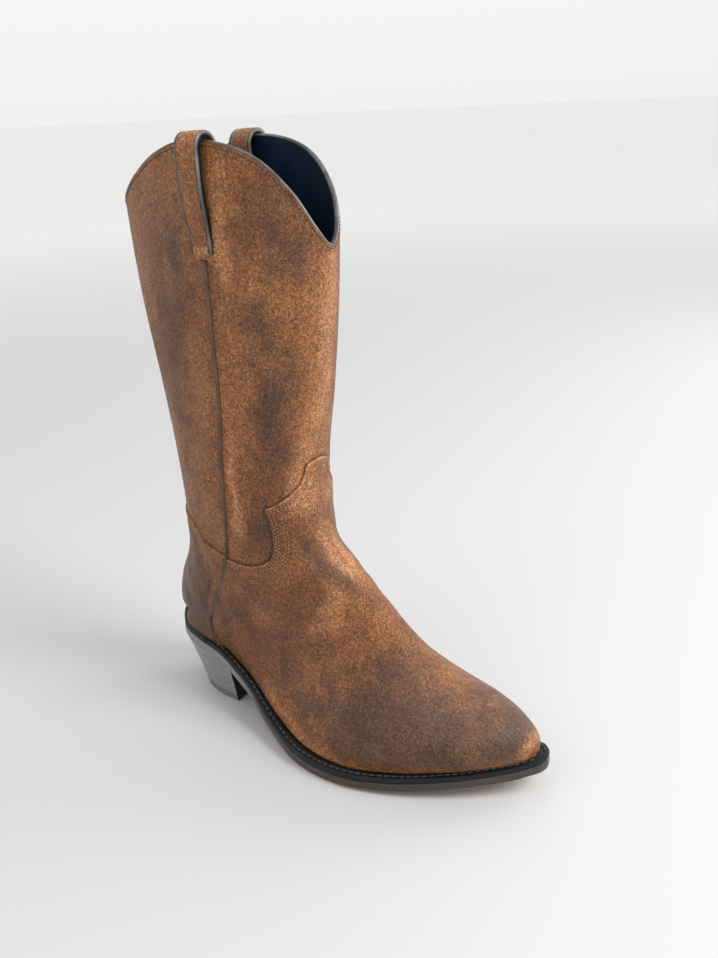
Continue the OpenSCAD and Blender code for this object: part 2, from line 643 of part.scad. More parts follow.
// Small leather tab that covers the strap's outer foot
TAB_REACH = 0.026;
module strap_tab(side) {
    places = [for (k = [-1, -0.5, 0, 0.5, 1]) strap_place(side) + TAB_REACH * k];
    grid = function (far) [for (t = [1.475, 1.51, 1.55]) [for (u = places) skin(t, side * u) + out(t, side * u) * far]];
    color("#7b4c2d") placed() {
        if (side < 0) between(grid(0.3), grid(1.9));
        else between(grid(1.9), grid(0.3));
    }
}
module strap_tab_outer() { strap_tab(-1); }
module strap_tab_inner() { strap_tab(1); }

outsole();
welt();
heel_rand();
insole();
heel_sock();
cork_filler();
shank();
shank_cover();
heel_lift_1();
heel_lift_2();
heel_lift_3();
heel_lift_4();
heel_lift_5();
top_lift();
heel_nails();
counter_stiffener();
toe_puff();
vamp();
counter_cover();
front_shaft();
rear_shaft();
vamp_lining();
heel_lining();
front_lining();
rear_lining();
side_piping_outer();
side_piping_inner();
front_binding();
rear_binding();
pull_strap_outer();
pull_strap_inner();
strap_edging_outer();
strap_edging_inner();
strap_tab_outer();
strap_tab_inner();
welt_stitching();
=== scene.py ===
"""Right-foot western boot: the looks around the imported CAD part.

The upper follows one skin, given by the rows of numbers that part.scad uses too: row 0 is the mouth,
row 9 the heel seat and row 21 the toe tip. A girth place runs from 0 at the front line to 1 at the
back line or the sole edge; it is negative round the outer side. Lengths are in millimetres and in
the leg's own frame until place() moves them to the CAD frame in metres.
"""

import math

import bpy
import numpy as np
from mathutils import Matrix, Vector, kdtree


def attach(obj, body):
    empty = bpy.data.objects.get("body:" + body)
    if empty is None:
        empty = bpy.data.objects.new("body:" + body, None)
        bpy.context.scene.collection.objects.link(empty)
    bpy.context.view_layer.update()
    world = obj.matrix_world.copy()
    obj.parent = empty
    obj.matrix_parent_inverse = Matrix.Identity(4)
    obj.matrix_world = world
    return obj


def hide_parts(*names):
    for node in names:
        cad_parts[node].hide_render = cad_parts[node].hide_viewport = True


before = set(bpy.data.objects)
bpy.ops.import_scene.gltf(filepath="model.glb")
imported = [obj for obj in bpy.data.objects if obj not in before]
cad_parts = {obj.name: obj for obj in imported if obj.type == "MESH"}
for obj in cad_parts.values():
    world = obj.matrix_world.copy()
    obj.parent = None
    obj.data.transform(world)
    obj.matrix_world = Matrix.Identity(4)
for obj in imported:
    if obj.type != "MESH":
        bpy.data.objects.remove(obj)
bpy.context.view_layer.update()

MM = 0.001
MIDDLE = np.array([144.3, -5.8, 0.0])

# ---------- the skin of the boot ----------

DORSAL = [
    [160, 415, 5], [158.5, 356, 4], [152.5, 295, 3], [144.5, 238, 2], [137.5, 198, 1],
    [137, 170, 0], [138.5, 150, 0], [147, 132, 0], [161, 119, 0], [171, 112, 0],
    [177, 106.5, 0], [183, 102, 0], [190, 96, 0], [200, 87, 0], [213, 75, 0],
    [228, 64.5, 0], [244, 55.5, 0], [260, 49.5, 1], [274, 44.5, 2], [284, 39.5, 4],
    [290, 33.5, 6], [292, 26.5, 6.5],
]
BACK = [
    [-20, 412, 0, 0], [-12, 350, 0, 0], [-2, 289, 0, 0], [10, 230, 0, 0], [19.5, 184, 0, 0],
    [23.5, 149, 0, 0], [23.2, 115, 0, 0], [8.2, 87, 0, 0], [0.8, 66, 0, 0], [6.4, 51, 0, 0],
]
SOLE_EDGE = [
    [6.4, 51, 0, 0], [19, 50.5, 20, 20], [42, 49.5, 28.5, 28.5], [66, 44.5, 29.5, 28],
    [91, 31, 32, 25], [120, 16.5, 41, 29], [153, 10.6, 51.5, 38], [188, 10.5, 53, 42],
    [221, 13, 44, 36.5], [252, 17, 28.5, 27], [276, 20.4, 12.5, 14], [287.5, 22.7, 5, 7],
    [292, 24.4, 0, 0],
]
GIRTH = [
    [0.5, 31, 31], [0.49, 34.5, 34.5], [0.455, 40, 40], [0.43, 42, 42], [0.44, 42.5, 42.5],
    [0.46, 41, 41], [0.47, 38, 38], [0.46, 34.5, 34.5], [0.47, 32, 32], [0.5, 31, 31],
    [0.56, 30, 30], [0.64, 29.8, 30], [0.71, 30, 30.5], [0.76, 32.8, 31.5], [0.785, 41.8, 35.5],
    [0.79, 52, 42], [0.785, 53.5, 45], [0.75, 45, 41], [0.7, 32.5, 31.5], [0.64, 19, 19],
    [0.6, 9.5, 10], [0.5, 0.6, 0.6],
]
MOUTH = [1.27, 1.45, 1.27, 0.92, 0.61, 0.45, 0.41, 0.51, 0.7, 0.88, 0.98, 1.02, 0.98]
SEAM = [0.463, 0.463, 0.463, 0.464, 0.464, 0.472, 0.496, 0.532, 0.589, 0.633, 0.67, 0.757, 1]
INNER_SHIFT = 0.055
SOLE_ROW, LAST_ROW, SEAM_END = 9, 21, 12
CORNER_REACH = 1
CORNER = [(-1, 0.05), (-0.67, 0.13), (-0.33, 0.2), (0, 0.24), (0.33, 0.2), (0.67, 0.13), (1, 0.05)]
SIDES = {"outer": -1, "inner": 1}

# Edge of the vamp from the front line to the side seam, as row and girth place, in three arcs
# that meet at the notch of the tongue and at the cusp
VAMP_EDGE = [
    [[4.12, 0], [4.13, 0.03], [4.16, 0.058], [4.2, 0.08]],
    [[4.2, 0.08], [4.36, 0.09], [4.61, 0.118], [4.83, 0.178], [4.98, 0.235], [5.05, 0.288]],
    [
        [5.05, 0.288], [5.5, 0.274], [5.98, 0.276], [6.43, 0.293], [6.71, 0.321],
        [6.81, 0.362], [6.78, 0.409], [6.62, 0.456], [6.43, 0.5], [6.2, 0.56],
    ],
]
# Top edge of the counter cover and the edge of the stiffener that shows through it, from the
# side seam to the back line
COUNTER_EDGE = [
    [6.62, 0.46], [6.37, 0.503], [6.16, 0.552], [5.89, 0.614], [5.57, 0.677],
    [5.27, 0.745], [5.1, 0.84], [5.04, 0.93], [5.03, 1],
]
STIFFENER_EDGE = [
    [8.7, 0.66], [8.24, 0.643], [7.71, 0.615], [7.2, 0.59], [6.8, 0.595], [6.44, 0.626],
    [6.05, 0.676], [5.65, 0.721], [5.4, 0.82], [5.3, 1],
]


def through(table, t):
    """Smooth curve through the rows of a table, at row t."""
    tab = np.asarray(table, float).reshape(len(table), -1)
    ext = np.vstack([2 * tab[0] - tab[1], tab, 2 * tab[-1] - tab[-2]])
    t = np.asarray(t, float)
    i = np.clip(np.floor(t).astype(int), 0, len(tab) - 2)
    f = (t - i)[..., None]
    p0, p1, p2, p3 = ext[i], ext[i + 1], ext[i + 2], ext[i + 3]
    bend = p0 - 2.5 * p1 + 2 * p2 - p3 / 2
    return p1 + f / 2 * (p2 - p0) + f**2 * bend + f**3 * (1.5 * (p1 - p2) + (p3 - p0) / 2)


def mirrored(p):
    return [p[0], p[1], -p[2], -p[3]]


SOLE_LOOP = [mirrored(SOLE_EDGE[1]), *SOLE_EDGE, mirrored(SOLE_EDGE[11])]


def end_of(t):
    """Back end of a girth line: x, z, outer and inner half width."""
    return np.where((t <= SOLE_ROW)[..., None], through(BACK, t), through(SOLE_LOOP, t - SOLE_ROW + 1))


def end_near(t, u):
    """The same with the corner at SOLE_ROW rounded, away from the edge."""
    reach = CORNER_REACH * ease((0.91 - u) * 4) * (1 - ease(np.abs(t - SOLE_ROW) / 2.2))
    end, soft = end_of(t), reach > 0
    if soft.any():
        end[soft] = sum(weight * end_of(t[soft] + k * reach[soft]) for k, weight in CORNER)
    return end


def skin(t, a):
    """Point of the skin on row t at girth place a."""
    t, a = np.broadcast_arrays(np.asarray(t, float), np.asarray(a, float))
    u, inner = np.abs(a), a >= 0
    d, g, e = through(DORSAL, t), through(GIRTH, t), end_near(t, u)
    w = np.where(inner, g[..., 2], g[..., 1])
    h = np.where(inner, e[..., 3], e[..., 2])
    sx = d[..., 0] + (e[..., 0] - d[..., 0]) * g[..., 0]
    sz = d[..., 1] + (e[..., 1] - d[..., 1]) * g[..., 0]
    front = u < 0.5
    angle = np.where(front, u, u - 0.5) * math.pi
    c, s = np.cos(angle), np.sin(angle)
    side = np.where(inner, 1.0, -1.0)
    x = np.where(front, sx + (d[..., 0] - sx) * c, sx + (e[..., 0] - sx) * s)
    y = d[..., 2] + side * np.where(front, w * s, h + (w - h) * c)
    z = np.where(front, sz + (d[..., 1] - sz) * c, sz + (e[..., 1] - sz) * s)
    return np.stack([x, y, z], -1)


def unit(v):
    return v / np.maximum(1e-9, np.linalg.norm(v, axis=-1, keepdims=True))


def ease(x):
    k = np.clip(x, 0, 1)
    return k * k * (3 - 2 * k)


def edge_out(t, side):
    """Outward direction of the sole edge, level."""
    v = skin(np.minimum(LAST_ROW, t + 0.02), side) - skin(np.maximum(SOLE_ROW, t - 0.02), side)
    out = np.stack([-v[..., 1], v[..., 0], np.zeros_like(v[..., 0])], -1)
    return unit(out * np.asarray(side, float)[..., None])


def outward(t, a):
    """Outward direction of the skin, level at the sole edge."""
    t, a = np.broadcast_arrays(np.asarray(t, float), np.asarray(a, float))
    u, side = np.abs(a), np.where(a < 0, -1.0, 1.0)
    d = 0.01
    low = np.where(u > 1 - d, 1 - d, u - d)
    high = np.minimum(1, u + d)
    va = (skin(t, side * high) - skin(t, side * low)) * side[..., None]
    vt = skin(np.minimum(LAST_ROW, t + 0.05), a) - skin(np.maximum(0, t - 0.05), a)
    n = unit(np.cross(vt, va))
    level = ease(t - 8) * ease((u - 0.9) * 10)
    return unit(n * np.stack([np.ones_like(level), np.ones_like(level), 1 - level], -1))


def shift_at(t, side):
    """How much further back the inner seam lies."""
    return np.where(np.asarray(side) > 0, INNER_SHIFT * (1 - ease((np.asarray(t) - 2) / 6)), 0)


def seam_at(t, side):
    return np.minimum(1, through(SEAM, t)[..., 0] + shift_at(t, side))


def mouth_at(u):
    return through(MOUTH, np.asarray(u) * 10 + 1)[..., 0]


def ripple(p, size, seed, stretch=(1, 1, 1)):
    """Soft random relief of about that size in millimetres, from -1 to 1."""
    rng = np.random.default_rng(seed)
    total = 0
    for _ in range(9):
        direction = unit(rng.normal(size=3)) / np.asarray(stretch, float)
        wave = size * rng.uniform(0.7, 1.5)
        total = total + np.sin(p @ direction * 2 * math.pi / wave + rng.uniform(0, 6.28))
    return total / 4.5


def dome(t, a, spot):
    """1 at the middle of a spot given as row, girth place and its reach in both, falling to 0."""
    return np.exp(-(((t - spot[0]) / spot[2]) ** 2) - ((a - spot[1]) / spot[3]) ** 2)


# Shallow folds of worn leather: row, girth place, reach in both, depth in mm
FOLDS = [
    [6.6, 0.17, 0.3, 0.1, -0.8], [7.4, 0.2, 0.35, 0.11, 0.6], [8.6, 0.24, 0.5, 0.1, -0.8],
    [9.9, 0.27, 0.5, 0.09, 0.7], [11.2, 0.25, 0.5, 0.12, -0.6], [12.9, 0.25, 0.7, 0.15, -0.5],
    [5.8, 0.33, 0.45, 0.04, -0.7], [7.7, 1.0, 0.6, 0.25, -1.1], [8.45, 0.9, 0.3, 0.25, 0.8],
    [7.0, 0.09, 0.35, 0.07, -0.9], [8.0, 0.12, 0.5, 0.035, 0.8], [9.6, 0.16, 1.2, 0.035, 0.9],
    [9.4, 0.1, 1.3, 0.03, -0.7], [10.9, 0.2, 1.1, 0.04, 0.7], [8.8, 0.36, 1.4, 0.06, 0.7],
    [8.6, 0.44, 1.3, 0.04, -0.6],
]


def relief(t, a, p):
    """How far the worn leather stands off the skin, in mm."""
    u = np.abs(a)
    ankle = ease((t - 4.4) / 1.6) * ease((15 - t) / 4) * ease((1 - u) * 6)
    side = ease((u - 0.04) * 8)
    height = (0.7 * ripple(p, 42, 3, (1, 1, 1.7)) + 0.35 * ripple(p, 19, 4, (1, 1, 1.8))) * ankle * side
    height = height + 0.5 * ripple(p, 90, 5, (1, 1, 2)) * ease((1 - u) * 6)
    for fold in FOLDS:
        height = height + fold[4] * dome(t, u, fold)
    return height


def place(points):
    return (points - MIDDLE) * MM


# ---------- meshes ----------


def grid_triangles(rows, cols):
    at = np.arange(rows * cols).reshape(rows, cols)
    a, b, c, d = at[:-1, :-1].ravel(), at[:-1, 1:].ravel(), at[1:, 1:].ravel(), at[1:, :-1].ravel()
    return np.vstack([np.column_stack([a, b, c]), np.column_stack([a, c, d])])


def split(cols, tri, value):
    """Cuts triangles along the line where value is 0. Every column of cols is carried along."""
    value = np.where(np.abs(value) < 1e-4, 0, value)
    signs = np.sign(value).astype(int)[tri]
    cut = (signs.min(1) < 0) & (signs.max(1) > 0)
    work, signs = tri[cut], signs[cut]
    on_line = (signs == 0).any(1)
    alone = signs == -np.sign(signs.sum(1))[:, None]
    first = np.where(on_line, np.argmax(signs == 0, 1), np.argmax(alone, 1))
    work = work[np.arange(len(work))[:, None], (first[:, None] + np.arange(3)) % 3]
    pairs = np.vstack([work[on_line][:, [1, 2]], work[~on_line][:, [0, 1]], work[~on_line][:, [0, 2]]])
    if not len(pairs):
        return cols, tri, value
    edges, which = np.unique(np.sort(pairs, 1), axis=0, return_inverse=True)
    which = which.ravel() + len(cols)
    f = value[edges[:, 0]] / (value[edges[:, 0]] - value[edges[:, 1]])
    added = cols[edges[:, 0]] + f[:, None] * (cols[edges[:, 1]] - cols[edges[:, 0]])
    n, k = on_line.sum(), (~on_line).sum()
    m, m1, m2 = which[:n], which[n:n + k], which[n + k:]
    z, w = work[on_line], work[~on_line]
    made = [
        np.column_stack([z[:, 0], z[:, 1], m]), np.column_stack([z[:, 0], m, z[:, 2]]),
        np.column_stack([w[:, 0], m1, m2]), np.column_stack([m1, w[:, 1], w[:, 2]]),
        np.column_stack([m1, w[:, 2], m2]),
    ]
    value = np.concatenate([value, np.zeros(len(edges))])
    return np.vstack([cols, added]), np.vstack([tri[~cut], *made]), value


def kept_side(cols, tri, value):
    """Keeps what lies where value is above 0."""
    cols, tri, value = split(cols, tri, value)
    tri = tri[value[tri].sum(1) > 0]
    used, tri = np.unique(tri, return_inverse=True)
    return cols[used], tri.reshape(-1, 3)


def new_object(name, points, faces, materials, face_material=None, smooth_angle=50, marks=None):
    """Mesh object from points in mm and faces, riding on the boot. marks are values kept on the points."""
    mesh = bpy.data.meshes.new(name)
    points = place(np.asarray(points, float))
    faces = np.asarray(faces)
    corners = faces.shape[1]
    mesh.vertices.add(len(points))
    mesh.vertices.foreach_set("co", points.astype(np.float32).ravel())
    mesh.loops.add(faces.size)
    mesh.loops.foreach_set("vertex_index", faces.astype(np.int32).ravel())
    mesh.polygons.add(len(faces))
    mesh.polygons.foreach_set("loop_start", np.arange(len(faces), dtype=np.int32) * corners)
    if face_material is not None:
        mesh.polygons.foreach_set("material_index", np.asarray(face_material, np.int32))
    mesh.update(calc_edges=True)
    mesh.validate()
    for material in materials:
        mesh.materials.append(material)
    for key, values in (marks or {}).items():
        attribute = mesh.attributes.new(key, "FLOAT", "POINT")
        attribute.data.foreach_set("value", np.asarray(values, np.float32))
    mesh.shade_smooth()
    mesh.set_sharp_from_angle(angle=math.radians(smooth_angle))
    obj = bpy.data.objects.new(name, mesh)
    bpy.context.scene.collection.objects.link(obj)
    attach(obj, "root")
    return obj


def piece(name, points, faces, materials, node, slot, **more):
    """A mesh object that stands for a CAD node and hides that node's part; slot is not used."""
    obj = new_object(name, points, faces, materials, **more)
    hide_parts(node)


def boundary(tri):
    """Edges that only one triangle has, in that triangle's direction."""
    edges = np.vstack([tri[:, [0, 1]], tri[:, [1, 2]], tri[:, [2, 0]]])
    key = np.sort(edges, 1)
    _, which, count = np.unique(key, axis=0, return_inverse=True, return_counts=True)
    return edges[count[which.ravel()] == 1]


def shell(top, bottom, tri):
    """Closed solid between two sheets with the same triangles: points and faces."""
    n = len(top)
    rim = boundary(tri)
    walls = np.vstack([
        np.column_stack([rim[:, 0], rim[:, 0] + n, rim[:, 1] + n]),
        np.column_stack([rim[:, 0], rim[:, 1] + n, rim[:, 1]]),
    ])
    return np.vstack([top, bottom]), np.vstack([tri, tri[:, ::-1] + n, walls])


def facing_out(points, tri, out):
    n = np.cross(points[tri[:, 1]] - points[tri[:, 0]], points[tri[:, 2]] - points[tri[:, 0]])
    return tri if (n * out[tri[:, 0]]).sum() > 0 else tri[:, ::-1]


def loft(rings, capped=True):
    """Points and triangles of a solid through rings of points."""
    rings = np.asarray(rings, float)
    n, m = rings.shape[:2]
    at = np.arange(n * m).reshape(n, m)
    nxt = np.roll(at, -1, 1)
    a, b, c, d = at[:-1].ravel(), nxt[:-1].ravel(), nxt[1:].ravel(), at[1:].ravel()
    faces = [np.column_stack([a, b, c]), np.column_stack([a, c, d])]
    points = rings.reshape(-1, 3)
    if capped:
        ends = np.vstack([rings[0].mean(0), rings[-1].mean(0)])
        faces.append(np.column_stack([nxt[0], at[0], np.full(m, n * m)]))
        faces.append(np.column_stack([at[-1], nxt[-1], np.full(m, n * m + 1)]))
        points = np.vstack([points, ends])
    faces = np.vstack(faces)
    p = points[faces]
    volume = (p[:, 0] * np.cross(p[:, 1], p[:, 2])).sum()
    return points, faces if volume > 0 else faces[:, ::-1]


def tube(path, outs, section):
    """Solid whose section, as (out, across) pairs, follows a path."""
    path, outs = np.asarray(path, float), np.asarray(outs, float)
    v = unit(np.gradient(path, axis=0))
    o = unit(outs - v * (outs * v).sum(-1, keepdims=True))
    w = np.cross(v, o)
    s = np.asarray(section, float)
    return loft(path[:, None] + o[:, None] * s[None, :, :1] + w[:, None] * s[None, :, 1:])


def oval(high, wide, sides=12):
    angle = np.arange(sides) * 2 * math.pi / sides
    return np.column_stack([np.cos(angle) * high, np.sin(angle) * wide])


# ---------- lines on the skin ----------


def arc_points(points, per_step=24):
    """Dense points of a smooth curve through a few."""
    t = np.linspace(0, len(points) - 1, (len(points) - 1) * per_step + 1)
    return through(points, t)


def run_along(points):
    """Distance of each point from the first, along their line."""
    return np.concatenate([[0], np.cumsum(np.linalg.norm(np.diff(points, axis=0), axis=1))])


def at_run(s, run, values):
    """Rows of values at the distances s along the line that run belongs to."""
    return np.column_stack([np.interp(s, run, column) for column in values.T])


def even(line, spacing):
    """The line in rows and girth places, at even distances on the skin."""
    run = run_along(skin(line[:, 0], line[:, 1]))
    s = np.linspace(0, run[-1], max(2, int(round(run[-1] / spacing)) + 1))
    return at_run(s, run, line)


def with_side(line, side):
    return line * [1, side]


def both_sides(half):
    """A line from the front or back line outwards, joined to its mirror image: outer side first."""
    return np.vstack([with_side(half[::-1], -1), half[1:]])


vamp_half = np.vstack([arc_points(arc) for arc in VAMP_EDGE])
vamp_edge = both_sides(vamp_half)
counter_half = arc_points(COUNTER_EDGE)
stiffener_half = arc_points(STIFFENER_EDGE)


def distances(points, line, spacing=0.2):
    """Distance in mm from each point to a line on the skin."""
    dense = even(line, spacing)
    curve = skin(dense[:, 0], dense[:, 1])
    tree = kdtree.KDTree(len(curve))
    for i, p in enumerate(curve):
        tree.insert(p, i)
    tree.balance()
    return np.array([tree.find(p)[2] for p in points])


def inside(t, a, polygon):
    """Which points lie in a polygon in the plane of row and girth place."""
    hit = np.zeros(len(t), bool)
    for (t0, a0), (t1, a1) in zip(polygon, np.roll(polygon, -1, 0)):
        crosses = (a0 > a) != (a1 > a)
        with np.errstate(divide="ignore", invalid="ignore"):
            hit ^= crosses & (t < (t1 - t0) * (a - a0) / (a1 - a0) + t0)
    return hit


def inset(line, by, inward):
    """The line moved sideways over the skin by so many mm; inward tells the side: 1 or -1."""
    moved = even(line, 0.4)
    base = skin(moved[:, 0], moved[:, 1])
    way = unit(np.gradient(base, axis=0))
    target = base + np.cross(outward(moved[:, 0], moved[:, 1]), way) * inward * by
    for _ in range(3):
        t, a = moved[:, 0], moved[:, 1]
        here = skin(t, a)
        jt = (skin(t + 0.01, a) - here) / 0.01
        ja = (skin(t, a + 0.001) - here) / 0.001
        d = target - here
        tt, ta, aa = (jt * jt).sum(-1), (jt * ja).sum(-1), (ja * ja).sum(-1)
        dt, da = (jt * d).sum(-1), (ja * d).sum(-1)
        det = tt * aa - ta * ta
        moved = moved + np.column_stack([(dt * aa - da * ta) / det, (da * tt - dt * ta) / det])
    gap_left = distances(skin(moved[:, 0], moved[:, 1]), line)
    return moved[gap_left > by - 0.12]


def stitches(name, points, ways, outs, material, length, wide, high):
    """One object of short threads that lie on the leather. The places come as a list of lines."""
    points, ways, outs = np.vstack(points), unit(np.vstack(ways)), np.vstack(outs)
    rings = [(-0.5, 0.25), (-0.4, 0.8), (-0.15, 1), (0.15, 1), (0.4, 0.8), (0.5, 0.25)]
    sides = 6
    angle = np.arange(sides) * 2 * math.pi / sides
    template = np.array([
        [x * length, r * wide / 2 * math.cos(q), r * high * math.sin(q)] for x, r in rings for q in angle
    ])
    _, faces = loft(template.reshape(len(rings), sides, 3), capped=False)
    ends = [[0, 2, 1], [0, 3, 2], [0, 4, 3], [0, 5, 4]]
    last = (len(rings) - 1) * sides
    faces = np.vstack([faces, ends, np.array(ends)[:, ::-1] + last])
    outs = unit(outs - ways * (outs * ways).sum(-1, keepdims=True))
    basis = np.stack([ways, np.cross(outs, ways), outs], 1)
    all_points = points[:, None] + np.einsum("kj,nji->nki", template, basis)
    all_faces = faces[None] + np.arange(len(points))[:, None, None] * len(template)
    return new_object(name, all_points.reshape(-1, 3), all_faces.reshape(-1, 3), [material])


def stitch_rows(name, lines, material, pitch, off, share=0.68, wide=0.55, high=0.32):
    """Stitches along lines in rows and girth places; off is the height of the leather over the skin."""
    points, ways, outs = [], [], []
    for line in lines:
        spots = even(line, pitch)
        base = skin(spots[:, 0], spots[:, 1])
        n = outward(spots[:, 0], spots[:, 1])
        lift = relief(spots[:, 0], spots[:, 1], base) + off
        base = base + n * lift[:, None]
        middle = (base[1:] + base[:-1]) / 2
        points.append(middle)
        ways.append(base[1:] - base[:-1])
        outs.append(n[1:])
    stitches(name, points, ways, outs, material, pitch * share, wide, high)


# ---------- materials ----------


class Nodes:
    """Short words for building a node material."""

    def __init__(self, name):
        self.material = bpy.data.materials.new(name)
        self.material.use_nodes = True
        self.tree = self.material.node_tree
        self.shader = self.tree.nodes["Principled BSDF"]
        self.place = self.add("ShaderNodeTexCoord").outputs["Object"]

    def add(self, kind, inputs=(), **settings):
        node = self.tree.nodes.new(kind)
        for key, value in settings.items():
            setattr(node, key, value)
        for key, value in dict(inputs).items():
            self.put(node.inputs[key], value)
        return node

    def put_colour(self, socket, value):
        self.put(socket, value if isinstance(value, bpy.types.NodeSocket) else (*value, 1))

    def put(self, socket, value):
        if isinstance(value, bpy.types.NodeSocket):
            self.tree.links.new(value, socket)
        else:
            socket.default_value = value

    def noise(self, scale, detail=3, rough=0.55, stretch=None):
        where = self.place
        if stretch:
            where = self.add("ShaderNodeMapping", {"Vector": where, "Scale": stretch}).outputs[0]
        inputs = {"Vector": where, "Scale": scale, "Detail": detail, "Roughness": rough}
        return self.add("ShaderNodeTexNoise", inputs).outputs["Fac"]

    def ramp(self, value, low, high, to_low=0.0, to_high=1.0):
        return self.add("ShaderNodeMapRange", {
            "Value": value, "From Min": low, "From Max": high, "To Min": to_low, "To Max": to_high,
        }, interpolation_type="SMOOTHSTEP").outputs[0]

    def math(self, operation, a, b=0.0):
        return self.add("ShaderNodeMath", {0: a, 1: b}, operation=operation).outputs[0]

    def mix(self, factor, a, b):
        node = self.add("ShaderNodeMix", {"Factor": factor}, data_type="RGBA")
        self.put_colour(node.inputs[6], a)
        self.put_colour(node.inputs[7], b)
        return node.outputs[2]

    def mark(self, name):
        return self.add("ShaderNodeAttribute", attribute_name=name).outputs["Fac"]

    def bump(self, height, distance, strength=1.0, under=None):
        inputs = {"Height": height, "Distance": distance, "Strength": strength}
        if under:
            inputs["Normal"] = under
        return self.add("ShaderNodeBump", inputs).outputs[0]

    def finish(self, colour, roughness, normal=None, **others):
        self.put_colour(self.shader.inputs["Base Color"], colour)
        self.put(self.shader.inputs["Roughness"], roughness)
        if normal:
            self.put(self.shader.inputs["Normal"], normal)
        for key, value in others.items():
            self.put(self.shader.inputs[key.replace("_", " ")], value)
        return self.material


def suede():
    """Waxed rough-out leather: red-brown and tan with a short nap, darker under burnished smudges and painted shade,
    lighter where worn and where highlights are painted.
    """
    n = Nodes("suede_leather")
    cloud = n.noise(13, 4, 0.6, (1, 1, 0.6))
    mottle = n.noise(60, 5, 0.65, (1, 1, 0.8))
    nap = n.noise(480, 5, 0.9)
    fibre = n.noise(1100, 2, 0.6)
    dark, light = n.mark("dark"), n.mark("light")
    shift = n.math("SUBTRACT", mottle, 0.5)
    colour = n.mix(n.ramp(cloud, 0.36, 0.64), (0.16, 0.053, 0.018), (0.3, 0.115, 0.034))
    colour = n.mix(n.math("MULTIPLY", n.ramp(mottle, 0.44, 0.7), 0.55), colour, (0.105, 0.038, 0.018))
    # worn: lighter where the mark light is, for worn places and for painted highlights.
    worn = n.ramp(n.math("ADD", light, n.math("MULTIPLY", shift, 1.4)), 0.1, 0.9)
    colour = n.mix(n.math("MULTIPLY", worn, 0.85), colour, (0.5, 0.225, 0.09))
    # Darker where the mark dark is: burnished smudges and painted shade.
    smudge_and_shade = n.ramp(n.math("ADD", dark, n.math("MULTIPLY", shift, 1.5)), -0.1, 1.15)
    colour = n.mix(n.math("MULTIPLY", smudge_and_shade, 0.85), colour, (0.055, 0.028, 0.017))
    flecks, threads = n.ramp(nap, 0.34, 0.7, 0.35, 1.75), n.ramp(fibre, 0.35, 0.7, 0.55, 1.5)
    contrast = n.math("MULTIPLY", flecks, threads)
    colour = n.add("ShaderNodeVectorMath", {0: colour, "Scale": contrast}, operation="SCALE").outputs[0]
    coarse = n.bump(n.noise(170, 4, 0.6), 0.0006, 0.6)
    normal = n.bump(nap, 0.0007, 0.85, coarse)
    normal = n.bump(fibre, 0.0003, 0.6, normal)
    roughness = n.ramp(n.math("ADD", mottle, n.math("MULTIPLY", dark, -0.2)), 0.25, 0.7, 0.36, 0.6)
    n.shader.inputs["Sheen Tint"].default_value = (1.0, 0.72, 0.5, 1)
    sheen = {"Sheen_Weight": 0.08, "Sheen_Roughness": 0.4}
    return n.finish(colour, roughness, normal, Specular_IOR_Level=0.36, **sheen)


def smooth_leather(name, colour, second, roughness, grain=260.0, depth=0.0002, shine=0.5):
    n = Nodes(name)
    tone = n.mix(n.ramp(n.noise(70, 4), 0.35, 0.7), colour, second)
    normal = n.bump(n.noise(grain, 4, 0.6), depth, 0.5)
    rough = n.ramp(n.noise(90, 3), 0.3, 0.7, roughness - 0.06, roughness + 0.08)
    return n.finish(tone, rough, normal, Specular_IOR_Level=shine)


def stacked_edge(name, colour, second, roughness, at_heel=None):
    """Dyed and polished edge of leather layers, with fine lines along it; at_heel is its colour there."""
    n = Nodes(name)
    layers = n.noise(120, 4, 0.6, (0.25, 0.25, 9))
    tone = n.mix(n.ramp(layers, 0.35, 0.7), colour, second)
    if at_heel:
        apart = n.add("ShaderNodeSeparateXYZ", {0: n.place})
        tone = n.mix(n.ramp(apart.outputs["X"], -0.07, -0.03), at_heel, tone)
    normal = n.bump(layers, 0.0001, 0.25)
    rough = n.ramp(n.noise(60, 4), 0.3, 0.7, roughness - 0.07, roughness + 0.1)
    return n.finish(tone, rough, normal)


def thread(name, colour):
    n = Nodes(name)
    twist = n.noise(1600, 2)
    tone = n.mix(n.ramp(twist, 0.35, 0.65), tuple(c * 0.6 for c in colour), colour)
    return n.finish(tone, 0.6, n.bump(twist, 0.0002, 0.6))


def metal(name, colour, roughness):
    n = Nodes(name)
    lines = n.noise(300, 3, 0.6, (1, 12, 1))
    tone = n.mix(lines, colour, tuple(c * 0.7 for c in colour))
    return n.finish(tone, roughness, n.bump(lines, 0.0001, 0.3), Metallic=1.0)


SUEDE = suede()
LINING = smooth_leather("dark_lining", (0.0006, 0.009, 0.025), (0.001, 0.014, 0.036), 0.55, shine=0.12)
# Near-black, darker than the lining: the straps' underside and painted shade in the gap under them.
STRAP_BACKING_AND_SHADE = smooth_leather("strap_backing", (0.0006, 0.003, 0.007), (0.001, 0.005, 0.011), 0.6, shine=0.12)
TRIM = smooth_leather("edge_leather", (0.04, 0.038, 0.034), (0.14, 0.133, 0.12), 0.33)
PIPING = smooth_leather("piping_leather", (0.05, 0.024, 0.012), (0.12, 0.06, 0.03), 0.45)
WELT_FACE = smooth_leather("welt_leather", (0.003, 0.0035, 0.004), (0.008, 0.008, 0.009), 0.45, shine=0.3)
HEEL_GREY = (0.18, 0.177, 0.168)
SOLE_SIDE = stacked_edge("sole_leather", (0.024, 0.02, 0.018), (0.05, 0.04, 0.035), 0.33, HEEL_GREY)
HEEL_SIDE = stacked_edge("heel_leather", HEEL_GREY, (0.22, 0.216, 0.206), 0.24)
RAW_EDGE = stacked_edge("sole_raw", (0.22, 0.1, 0.06), (0.3, 0.16, 0.1), 0.6)
